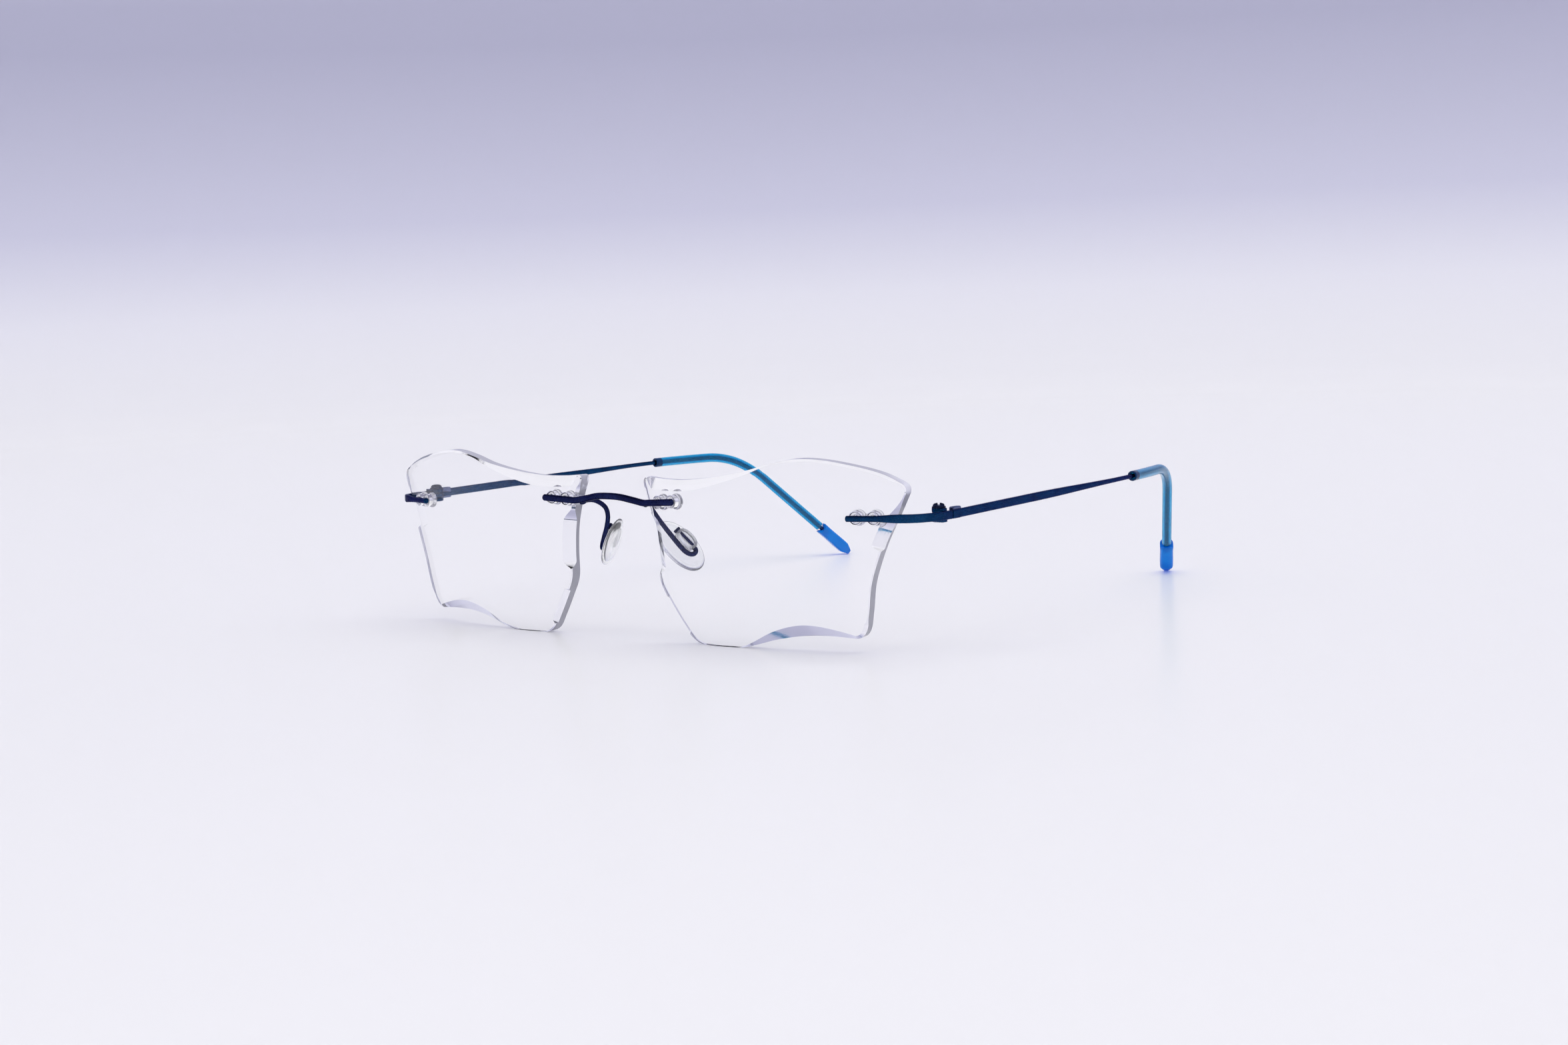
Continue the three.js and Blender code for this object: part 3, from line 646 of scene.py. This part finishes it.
def in_pad(along, beside):
    """A point of the pad box's middle plane, along the pad and beside it."""
    local = BOX_CENTRE + np.array([along, beside, 0])
    return PAD_CENTRE + local[0] * PAD_UP + local[1] * PAD_ACROSS + local[2] * PAD_OUT


def arm_path():
    """From the soldered foot behind the bridge to the end in the pad box."""
    points = [np.array(p) for p in ARM_START] + [in_pad(*p) for p in ARM_HOOK]
    return Path(smooth_points([points[0] + ARM_FOOT, *points]))


def pad_arm():
    """A wire with a flare of solder at its foot and a squared end."""
    path = arm_path()

    def section(s):
        height = ARM_WIRE * (1 + ARM_SWELLING * (1 - smoothstep(s, *ARM_FLARE)))
        squared = smoothstep(s, *[path.length - from_end for from_end in ARM_SQUARED])
        return height * (1 + ARM_SWELLING * squared), height, 2 + 3 * squared

    return bar(path, section, PAD_OUT, 24, 0.25, (0.15, 0.1))


def oval_rings(length, width, squareness, profile, bow=0.0, count=72):
    """Rings of a moulded oval: each is pulled in from the rim and set at a height."""
    turn = np.arange(count) * 2 * math.pi / count
    x = np.sign(np.cos(turn)) * np.abs(np.cos(turn)) ** (2 / squareness)
    y = np.sign(np.sin(turn)) * np.abs(np.sin(turn)) ** (2 / squareness)
    made = []
    for inset, height in profile:
        px, py = x * (length / 2 - inset), y * (width / 2 - inset)
        lift = bow * ((px / (length / 2)) ** 2 - 0.5)
        made.append(np.column_stack([px, py, height + lift]))
    return made


def nose_pad():
    """A soft clear oval: crowned where it meets the nose, with a moulded rim on its back."""
    half = PAD_DEPTH / 2
    profile = [(3.6, -half), (3.1, -half + 0.01), (2.4, -half + 0.05), (1.6, -half + 0.14),
               (0.9, -half + 0.3), (0.42, -half + 0.5), (0.14, -0.08), (0.02, 0.1), (0.0, 0.24),
               (0.05, 0.38), (0.18, 0.5), (0.4, 0.56), (0.62, 0.54), (0.8, 0.42), (0.98, 0.34),
               (1.3, 0.34), (1.9, 0.4), (2.6, 0.46), (3.2, 0.48), (3.6, 0.48)]
    return moved(lofted(oval_rings(PAD_LENGTH, PAD_WIDTH, 2.1, profile, bow=-0.12)), PAD_MATRIX)


def pad_box():
    """The hard clear box on the pad's back: a thick rim round a dish, bored along the arm."""
    half = BOX_DEPTH / 2
    profile = [(0.9, -half - 0.3), (0.3, -half - 0.28), (0.1, -half - 0.12), (0.02, -half + 0.15),
               (0.0, 0.1), (0.03, half - 0.34), (0.12, half - 0.14), (0.28, half - 0.02),
               (0.44, half), (0.56, half - 0.06), (0.64, half - 0.2), (0.72, half - 0.36),
               (0.86, half - 0.42), (1.15, half - 0.42), (1.45, half - 0.42)]
    box = lofted(oval_rings(BOX_LENGTH, BOX_WIDTH, 2.4, profile))
    box.transform(Matrix.Translation(BOX_CENTRE))
    arm = arm_path()
    stops = np.linspace(arm.length - BOX_LENGTH - 4, arm.length + 1, 60)
    tool = bar(Path(np.array([arm.at(s) for s in stops])), round_wire(2 * BOX_BORE), PAD_OUT, 28)
    return combined(moved(box, PAD_MATRIX), [tool], "DIFFERENCE")


# ------------------------------------------------------------------ hinge


def hinge_moved(mesh):
    return moved(mesh, Matrix.Translation(HINGE))


def knuckle(level, *plates):
    """A rounded barrel on the hinge axis with plates beside it, and the tool that bores it."""
    middle = level * (KNUCKLE_HEIGHT + KNUCKLE_GAP)
    low, high = middle - KNUCKLE_HEIGHT / 2, middle + KNUCKLE_HEIGHT / 2
    barrel = rounded_post(KNUCKLE_RADIUS, low, high, 0.12, 40)
    blocks = [rounded_block((x0, y0, low), (x1, y1, high), 0.08) for x0, x1, y0, y1 in plates]
    bore = rounded_post(KNUCKLE_BORE, low - 1, high + 1, 0.05, 32)
    return [hinge_moved(m) for m in (barrel, *blocks)], hinge_moved(bore)


def end_piece():
    """Wire on the lens front, flattened into an upright blade that sweeps back to the hinge."""
    on_lens = [on_lens_front(x, TEMPLE_FIXING[1], WIRE_STAND_OFF) for x in END_ON_LENS]
    end = HINGE + np.array([BLADE_OFFSET, END_BEHIND_AXIS, 0])
    path = Path(smooth_points([*on_lens, *[np.array(p) for p in END_SWEEP], end]))

    def section(s):
        flat = smoothstep(s / path.length, *END_FLATTEN)
        return (
            END_WIRE + (BLADE_THICKNESS - END_WIRE) * flat,
            END_WIRE + (BLADE_HEIGHT - END_WIRE) * flat,
            2 + (BLADE_SQUARENESS - 2) * flat,
        )

    blade = bar(path, section, UP, 40, 0.3, (0.2, 0.1))
    parts, bores = [], []
    for level in (-1, 1):
        solids, bore = knuckle(level, END_PLATE)
        parts += solids
        bores.append(bore)
    whole = combined(blade, [*parts, *prongs(TEMPLE_FRAME)], "UNION")
    return combined(whole, bores, "DIFFERENCE")


def hinge_screw():
    """A domed screw through the knuckles, on a thin washer ring, with its slot a little askew."""
    top = 1.5 * KNUCKLE_HEIGHT + KNUCKLE_GAP
    seat = top + SCREW_LIFT
    crown = seat + SCREW_HEAD_HEIGHT
    profile = [(SCREW_RADIUS - 0.1, -top + 0.1), (SCREW_RADIUS, -top + 0.2), (SCREW_RADIUS, seat),
               (KNUCKLE_RADIUS - 0.03, seat), (KNUCKLE_RADIUS, seat + 0.06),
               (KNUCKLE_RADIUS - 0.02, seat + 0.16), (KNUCKLE_RADIUS - 0.12, seat + 0.2),
               (SCREW_HEAD - 0.12, seat + 0.22), (SCREW_HEAD - 0.14, seat + 0.42),
               (SCREW_HEAD - 0.22, seat + 0.62), (SCREW_HEAD - 0.42, seat + 0.77),
               (SCREW_HEAD - 0.75, crown - 0.03), (0.2, crown)]
    head = turned(profile, 48)
    slot = rounded_block((-SLOT_WIDTH / 2, -2, crown - SLOT_DEPTH),
                         (SLOT_WIDTH / 2, 2, crown + SLOT_DEPTH), 0.04)
    slot.transform(Matrix.Rotation(SLOT_TURN, 4, "Z"))
    return hinge_moved(combined(head, [slot], "DIFFERENCE"))


# ------------------------------------------------------------------ temple

TEMPLE_PATH = Path(rounded_points(TEMPLE_CORNERS, TEMPLE_BENDS) + HINGE)
CAP_FROM = TEMPLE_PATH.length - CAP_LENGTH


def part_path(start, end, step=0.25):
    stops = np.linspace(start, end, max(2, round((end - start) / step)))
    return Path(np.array([TEMPLE_PATH.at(s) for s in stops]))


def temple():
    """Flat at the hinge, tapering to the round core that runs inside the sleeve."""
    path = part_path(0, CAP_FROM + CORE_IN_CAP)

    def section(s):
        thin = smoothstep(s, *TEMPLE_TAPER)
        return (
            BLADE_THICKNESS + (CORE_WIRE - BLADE_THICKNESS) * thin,
            BLADE_HEIGHT + (CORE_WIRE - BLADE_HEIGHT) * thin,
            BLADE_SQUARENESS + (2 - BLADE_SQUARENESS) * thin,
        )

    blade = bar(path, section, UP, 40, 0.6, (0.1, 0.2))
    solids, bore = knuckle(0, *TEMPLE_PLATES)
    lug = hinge_moved(rounded_block(LUG_LOW, LUG_HIGH, LUG_ROUNDING))
    whole = combined(combined(blade, [*solids, lug], "UNION"), [bore], "DIFFERENCE")
    low, high = HINGE + LUG_LOW - LUG_ROUNDING, HINGE + LUG_HIGH + LUG_ROUNDING
    for polygon in whole.polygons:
        centre = np.array(polygon.center)
        on_lug = (centre > low).all() and (centre < high).all()
        polygon.material_index = int(on_lug)
    return whole


def temple_sleeve():
    """Thin-walled tubing over the core, cut square at the front and rounded at its lips."""
    path = part_path(SLEEVE_FROM, CAP_FROM - SLEEVE_GAP)
    count = round(path.length / SLEEVE_STEP)
    middle = [(s, 0) for s in np.linspace(SLEEVE_LIP, path.length - SLEEVE_LIP, count)]
    turns = [math.radians(a) for a in (85, 60, 35, 12)]
    front = [(SLEEVE_LIP * (1 - math.sin(a)), SLEEVE_LIP * (1 - math.cos(a))) for a in turns]
    back = [(path.length - s, pull) for s, pull in reversed(front)]
    stops = [*front, *middle, *back]

    def rings(marks, diameter, growth):
        widths = [(s, diameter + 2 * growth * pull) for s, pull in marks]
        return [ring(path, s, width, width, 2, UP, SLEEVE_SIDES) for s, width in widths]

    outside = rings(stops, SLEEVE_DIAMETER, -1)
    inside = rings(reversed(stops), SLEEVE_BORE, 1)
    tube = lofted([*outside, *inside], closed=True)
    places = [s for s, _ in [*stops, *reversed(stops)]]
    for polygon in tube.polygons:
        polygon.material_index = int(places[polygon.index // SLEEVE_SIDES] < SLEEVE_DARK_END)
    return tube


def tip_cap():
    """A small blunt paddle: a scooped mouth with raised sides, a bore, and a chamfered end."""
    path = part_path(CAP_FROM, TEMPLE_PATH.length, 0.1)
    outer = [(0.0, 0.88), (0.06, 0.95), (0.2, 0.99), (0.5, 1.0), (1.2, 0.985), (2.4, 0.97),
             (4.0, 0.98), (5.6, 1.0), (7.4, 1.0), (8.1, 0.985), (8.3, 0.96), (8.45, 0.92),
             (8.9, 0.79), (9.4, 0.645), (9.9, 0.5), (10.1, 0.43), (10.2, 0.36), (10.26, 0.24)]
    bore_end = CORE_IN_CAP + CAP_BORE_BEYOND
    inner = [(0.0, 1.25), (0.15, 1.08), (0.5, 1.0), (bore_end - 0.1, 1.0), (bore_end, 0.8)]
    turn = np.arange(CAP_SIDES) * 2 * math.pi / CAP_SIDES
    scoop = CAP_SCOOP * np.cos(turn) ** 2

    def cap_ring(s, width, height, squareness):
        shift = scoop * math.exp(-s * CAP_SCOOP_FADE)
        flat = ring(path, s, width, height, squareness, UP, CAP_SIDES)
        scooped = flat + shift[:, None] * path.along(s)
        scooped[:, 2] = np.maximum(scooped[:, 2], 0)  # the tips touch the table
        return scooped

    outer_rings = [
        cap_ring(s, CAP_WIDTH * size, CAP_THICKNESS * size, CAP_SQUARENESS) for s, size in outer
    ]
    inner_rings = [cap_ring(s, CAP_BORE * size, CAP_BORE * size, 2) for s, size in inner]
    return lofted([*reversed(inner_rings), *outer_rings])


# ------------------------------------------------------------------ materials


def link(material, source, target):
    material.node_tree.links.new(source, target)


def surface(name, **values):
    """A Principled material with plain values."""
    material = bpy.data.materials.new(name)
    material.use_nodes = True
    shader = material.node_tree.nodes["Principled BSDF"]
    for key, value in values.items():
        shader.inputs[key.replace("_", " ")].default_value = value
    return material, shader


def noise(material, scale, detail, stretch=(1, 1, 1)):
    """Noise over the object's own coordinates. scale counts features per mm."""
    nodes = material.node_tree.nodes
    place = nodes.new("ShaderNodeTexCoord")
    mapping = nodes.new("ShaderNodeMapping")
    mapping.inputs["Scale"].default_value = [s / MM for s in stretch]
    texture = nodes.new("ShaderNodeTexNoise")
    texture.inputs["Scale"].default_value = scale
    texture.inputs["Detail"].default_value = detail
    link(material, place.outputs["Object"], mapping.inputs["Vector"])
    link(material, mapping.outputs["Vector"], texture.inputs["Vector"])
    return texture.outputs["Fac"]


def ranged(material, source, low, high, start=0.3, end=0.7):
    node = material.node_tree.nodes.new("ShaderNodeMapRange")
    for key, value in (("From Min", start), ("From Max", end), ("To Min", low), ("To Max", high)):
        node.inputs[key].default_value = value
    link(material, source, node.inputs["Value"])
    return node.outputs["Result"]


def mixed_colour(material, factor, first, second):
    node = material.node_tree.nodes.new("ShaderNodeMix")
    node.data_type = "RGBA"
    node.inputs["A"].default_value = (*first, 1)
    node.inputs["B"].default_value = (*second, 1)
    link(material, factor, node.inputs["Factor"])
    return node.outputs["Result"]


def bumped(material, shader, source, height, strength):
    """A bump of that height in mm."""
    node = material.node_tree.nodes.new("ShaderNodeBump")
    node.inputs["Strength"].default_value = strength
    node.inputs["Distance"].default_value = height * MM
    link(material, source, node.inputs["Height"])
    link(material, node.outputs["Normal"], shader.inputs["Normal"])


def lit_through(material, shader, tint):
    """Lets lamps shine through clear plastic in that colour."""
    nodes = material.node_tree.nodes
    path = nodes.new("ShaderNodeLightPath")
    clear = nodes.new("ShaderNodeBsdfTransparent")
    clear.inputs["Color"].default_value = (*tint, 1)
    mix = nodes.new("ShaderNodeMixShader")
    link(material, path.outputs["Is Shadow Ray"], mix.inputs[0])
    link(material, shader.outputs["BSDF"], mix.inputs[1])
    link(material, clear.outputs["BSDF"], mix.inputs[2])
    link(material, mix.outputs["Shader"], nodes["Material Output"].inputs["Surface"])


def clear_lens():
    """Polished lens plastic, coated against reflections, with the faintest wipe marks."""
    material, shader = surface("lens_polished", Base_Color=(1, 1, 1, 1), Transmission_Weight=1.0,
                               IOR=1.5, Specular_Tint=(0.1, 0.11, 0.22, 1))
    smears = noise(material, 0.12, 6, (1, 1, 3))
    link(material, ranged(material, smears, 0.0, 0.02, 0.45, 0.75), shader.inputs["Roughness"])
    lit_through(material, shader, (0.95, 0.95, 0.97))
    return material


def lens_edge_painted_reflection(name, tint, clearness):
    """The ground and polished edge, with fine grinding lines and a cool tint that is painted
    reflection of the surroundings seen in the edge.
    """
    material, shader = surface(name, Base_Color=(*tint, 1), Transmission_Weight=clearness, IOR=1.5)
    lines = noise(material, 0.9, 3, (1, 6, 1))
    link(material, ranged(material, lines, 0.03, 0.12), shader.inputs["Roughness"])
    bumped(material, shader, lines, 0.01, 0.3)
    lit_through(material, shader, (0.55, 0.55, 0.65))
    return material


def moulded_clear(name, tint, clearness, ior, low, high, grain):
    """Clear moulded plastic with faint flow marks."""
    material, shader = surface(name, Base_Color=(*tint, 1), Transmission_Weight=clearness, IOR=ior)
    flow = noise(material, 0.8, 5)
    link(material, ranged(material, flow, low, high), shader.inputs["Roughness"])
    bumped(material, shader, noise(material, 1.6, 3), grain, 0.5)
    lit_through(material, shader, tuple(0.9 * c for c in tint))
    return material


def plated(name, deep, light, roughness):
    """Glossy plating over metal wire: drawn lines, tiny pits and a clear top coat."""
    material, shader = surface(name, Metallic=1.0, Coat_Weight=0.14, Coat_Roughness=0.05,
                               Coat_IOR=1.45, Specular_Tint=(0.1, 0.2, 0.36, 1))
    patches = ranged(material, noise(material, 0.25, 5), 0, 1)
    link(material, mixed_colour(material, patches, deep, light), shader.inputs["Base Color"])
    drawn = noise(material, 1.2, 6, (3, 0.35, 3))
    link(material, ranged(material, drawn, roughness, roughness + 0.16),
         shader.inputs["Roughness"])
    bumped(material, shader, drawn, 0.006, 0.5)
    return material


def tubing():
    """Translucent blue tubing, paler where its wall is thin."""
    material, shader = surface("tubing_blue", Transmission_Weight=0.86, IOR=1.4,
                               Specular_IOR_Level=0.2)
    patches = ranged(material, noise(material, 0.3, 4), 0, 1)
    colour = mixed_colour(material, patches, (0.0, 0.42, 0.76), (0.001, 0.49, 0.83))
    link(material, colour, shader.inputs["Base Color"])
    flow = noise(material, 1.1, 5, (1, 0.3, 1))
    link(material, ranged(material, flow, 0.08, 0.2), shader.inputs["Roughness"])
    bumped(material, shader, flow, 0.012, 0.4)
    lit_through(material, shader, (0.35, 0.72, 0.9))
    return material


def blue_plastic(name, deep, light, clearness):
    """Strongly coloured moulded plastic that lets a little light in."""
    material, shader = surface(name, Transmission_Weight=clearness, IOR=1.4,
                               Specular_IOR_Level=0.2)
    patches = ranged(material, noise(material, 0.35, 4), 0, 1)
    link(material, mixed_colour(material, patches, deep, light), shader.inputs["Base Color"])
    flow = noise(material, 1.0, 5)
    link(material, ranged(material, flow, 0.12, 0.26), shader.inputs["Roughness"])
    bumped(material, shader, flow, 0.015, 0.4)
    lit_through(material, shader, light)
    return material


# ------------------------------------------------------------------ assembly


def placed(name, mesh, materials, body, nodes, angle=35):
    """Puts a finished mesh in the row frame and ties it to the CAD."""
    mesh.name = name
    mesh.transform(Matrix.Scale(MM, 4) @ Matrix.Translation((0, ROW_SHIFT_Y, 0)))
    for material in materials:
        mesh.materials.append(material)
    mesh.shade_smooth()
    mesh.set_sharp_from_angle(angle=math.radians(angle))
    piece = bpy.data.objects.new(name, mesh)
    scene.collection.objects.link(piece)
    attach(piece, body)
    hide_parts(*nodes)


# painted reflection: the edges' cool grey-lavender tints, faint on the facets, darker and half
# diffuse on the rim
LENS_LOOK = [clear_lens(), lens_edge_painted_reflection("lens_facet_painted_reflection", (0.95, 0.95, 0.98), 1.0),
             lens_edge_painted_reflection("lens_rim_painted_reflection", (0.80, 0.80, 0.89), 0.5)]
PLUG_LOOK = [moulded_clear("plug_moulded", (0.95, 0.95, 0.97), 0.84, 1.45, 0.06, 0.16, 0.02)]
BOX_LOOK = [moulded_clear("box_moulded", (0.94, 0.95, 0.96), 0.85, 1.49, 0.01, 0.06, 0.006)]
PAD_LOOK = [moulded_clear("pad_silicone", (0.96, 0.97, 0.975), 0.96, 1.41, 0.04, 0.14, 0.008)]
NAVY_LOOK = [plated("plating_navy", (0.005, 0.008, 0.045), (0.012, 0.018, 0.075), 0.16)]
BLUE_LOOK = [plated("plating_blue", (0.001, 0.028, 0.088), (0.003, 0.045, 0.125), 0.2)]
TEMPLE_LOOK = [*BLUE_LOOK, plated("plating_worn", (0.10, 0.13, 0.24), (0.20, 0.23, 0.36), 0.22)]
SCREW_LOOK = [plated("plating_screw", (0.008, 0.014, 0.045), (0.03, 0.045, 0.09), 0.2)]
SLEEVE_LOOK = [tubing(),
               blue_plastic("tubing_end", (0.004, 0.03, 0.10), (0.008, 0.05, 0.15), 0.1)]
CAP_LOOK = [blue_plastic("cap_blue", (0.0, 0.24, 0.80), (0.0, 0.31, 0.88), 0.5)]

FRONT, PAD, TEMPLE = "front", "pad_{side}", "temple_{side}"
SIDED = (
    ("lens", lens, LENS_LOOK, "lens_clear", FRONT, 20),
    ("nose_plug", lambda: double_plug(NOSE_FRAME), PLUG_LOOK, "plug_clear", FRONT, 50),
    ("temple_plug", lambda: double_plug(TEMPLE_FRAME), PLUG_LOOK, "plug_clear", FRONT, 50),
    ("pad_arm", pad_arm, NAVY_LOOK, "navy_metal", FRONT, 50),
    ("pad_box", pad_box, BOX_LOOK, "plug_clear", PAD, 40),
    ("nose_pad", nose_pad, PAD_LOOK, "pad_soft", PAD, 60),
    ("end_piece", end_piece, BLUE_LOOK, "blue_metal", FRONT, 35),
    ("hinge_screw", hinge_screw, SCREW_LOOK, "screw_steel", FRONT, 35),
    ("temple", temple, TEMPLE_LOOK, "blue_metal", TEMPLE, 35),
    ("temple_sleeve", temple_sleeve, SLEEVE_LOOK, "sleeve_blue", TEMPLE, 50),
    ("tip_cap", tip_cap, CAP_LOOK, "cap_blue", TEMPLE, 40),
)

placed("bridge_fine", bridge(), NAVY_LOOK, FRONT, ["bridge"])
for part, maker, look, slot_name, body_name, crease in SIDED:
    left = maker()
    right = mirror_image(left)
    for side, mesh in (("left", left), ("right", right)):
        placed(f"{part}_{side}_fine", mesh, look, body_name.format(side=side),
               [f"{part}_{side}"], crease)

# ------------------------------------------------------------------ stage, light and camera


def multiplied(material, first, second):
    node = material.node_tree.nodes.new("ShaderNodeMix")
    node.data_type, node.blend_type = "RGBA", "MULTIPLY"
    node.inputs["Factor"].default_value = 1
    link(material, first, node.inputs["A"])
    link(material, second, node.inputs["B"])
    return node.outputs["Result"]


def bowl_with_painted_shade():
    """Warm white on the floor, with painted shade that turns it cooler and darker up the curve, a
    painted dark band that clear edges reflect, and light again above the band.
    """
    material, shader = surface("studio_white_painted_shade", Roughness=0.27, Specular_IOR_Level=0.3)
    nodes = material.node_tree.nodes
    place = nodes.new("ShaderNodeNewGeometry")
    split = nodes.new("ShaderNodeSeparateXYZ")
    link(material, place.outputs["Position"], split.inputs[0])
    height = split.outputs["Z"]  # in metres, as are the heights below
    # painted shade: the backdrop fades to a darker, cooler grey-lavender up the curve
    painted_fade = ranged(material, height, 0, 1, 0.0, 0.1)
    painted_fade_colour = mixed_colour(material, painted_fade, (0.93, 0.93, 0.885), (0.68, 0.68, 0.775))
    # painted shade: a darker band up the wall, there so that clear lens edges show it in
    # reflection
    below_top = ranged(material, height, 1, 0, 0.24, 0.36)
    painted_dark_band = nodes.new("ShaderNodeMath")
    painted_dark_band.operation = "MULTIPLY"
    link(material, ranged(material, height, 0, 1, 0.05, 0.21), painted_dark_band.inputs[0])
    link(material, below_top, painted_dark_band.inputs[1])
    shade = mixed_colour(material, painted_dark_band.outputs[0], (1, 1, 1), (0.64, 0.64, 0.71))
    link(material, multiplied(material, painted_fade_colour, shade), shader.inputs["Base Color"])
    return material


def studio_bowl():
    """A round floor whose rim curves up into a backdrop on every side, in metres."""
    flat, bend, wall, sides = 0.72, 0.55, 0.5, 96
    turns = np.linspace(0, math.pi / 2, 24)[1:]
    profile = [(r, 0.0) for r in np.linspace(0.02, flat, 12)]
    profile += [(flat + bend * math.sin(a), bend * (1 - math.cos(a))) for a in turns]
    profile.append((flat + bend, bend + wall))
    around = np.arange(sides) * 2 * math.pi / sides
    rings = [np.column_stack([r * np.cos(around), r * np.sin(around), np.full(sides, z)])
             for r, z in profile]
    faces = [
        (i * sides + k, i * sides + (k + 1) % sides, (i + 1) * sides + (k + 1) % sides,
         (i + 1) * sides + k)
        for i in range(len(rings) - 1)
        for k in range(sides)
    ]
    faces.append(tuple(reversed(range(sides))))
    mesh = bpy.data.meshes.new("studio_bowl")
    mesh.from_pydata([tuple(p) for p in np.vstack(rings)], [], faces)
    mesh.shade_smooth()
    mesh.materials.append(bowl_with_painted_shade())
    bowl = bpy.data.objects.new("studio_bowl", mesh)
    bowl.location.z = -FLOOR_DROP * MM
    scene.collection.objects.link(bowl)


def soft_light(name, place, size, power, colour):
    """A soft box that isn't seen itself in clear plastic, which shows the bowl instead."""
    lamp = bpy.data.lights.new(name, "AREA")
    lamp.shape = "RECTANGLE"
    lamp.size, lamp.size_y = size
    lamp.energy = power
    lamp.color = colour
    holder = bpy.data.objects.new(name, lamp)
    holder.location = place
    middle_of_pair = Vector((0, 0, 0.02))
    aim = middle_of_pair - Vector(place)
    holder.rotation_mode = "QUATERNION"
    holder.rotation_quaternion = aim.to_track_quat("-Z", "Y")
    holder.visible_transmission = False
    holder.visible_glossy = False
    scene.collection.objects.link(holder)


def studio_world():
    """Pale at the sides and dim lavender overhead, so that clear edges show."""
    world = bpy.data.worlds.new("studio_air")
    scene.world = world
    world.use_nodes = True
    background = world.node_tree.nodes["Background"]
    direction = world.node_tree.nodes.new("ShaderNodeTexCoord")
    split = world.node_tree.nodes.new("ShaderNodeSeparateXYZ")
    link(world, direction.outputs["Generated"], split.inputs[0])
    height = ranged(world, split.outputs["Z"], 0, 1, 0.5, 0.9)
    colour = mixed_colour(world, height, (0.71, 0.71, 0.75), (0.19, 0.18, 0.28))
    link(world, colour, background.inputs["Color"])


def camera():
    """The view: its place and aim in mm in the front's own frame, its roll and its lens."""
    place = Vector((381.59, -411.84 + ROW_SHIFT_Y, 80.62)) * MM
    aim = Vector((16.58, 35.20 + ROW_SHIFT_Y, 21.16)) * MM
    roll, focal_length = math.radians(-2.236), 62.73
    data = bpy.data.cameras.new("camera")
    data.sensor_width = 36
    data.lens = focal_length
    data.clip_start, data.clip_end = 0.01, 20
    holder = bpy.data.objects.new("camera", data)
    holder.location = place
    turn = (aim - place).to_track_quat("-Z", "Y").to_matrix() @ Matrix.Rotation(roll, 3, "Z")
    holder.rotation_mode = "QUATERNION"
    holder.rotation_quaternion = turn.to_quaternion()
    scene.collection.objects.link(holder)
    scene.camera = holder


studio_bowl()
soft_light("overhead", (0.0, 0.1, 1.5), (1.6, 1.6), 16.6, (1.0, 0.995, 0.975))
soft_light("front_left", (-0.9, -1.0, 1.0), (0.8, 0.8), 4.3, (1.0, 0.98, 0.97))
soft_light("back_right", (1.0, 0.9, 0.9), (0.6, 0.9), 3.2, (0.95, 0.96, 1.0))
studio_world()
camera()

scene.view_settings.view_transform = "Standard"
scene.cycles.max_bounces = 24
scene.cycles.transmission_bounces = 20
scene.cycles.transparent_max_bounces = 24
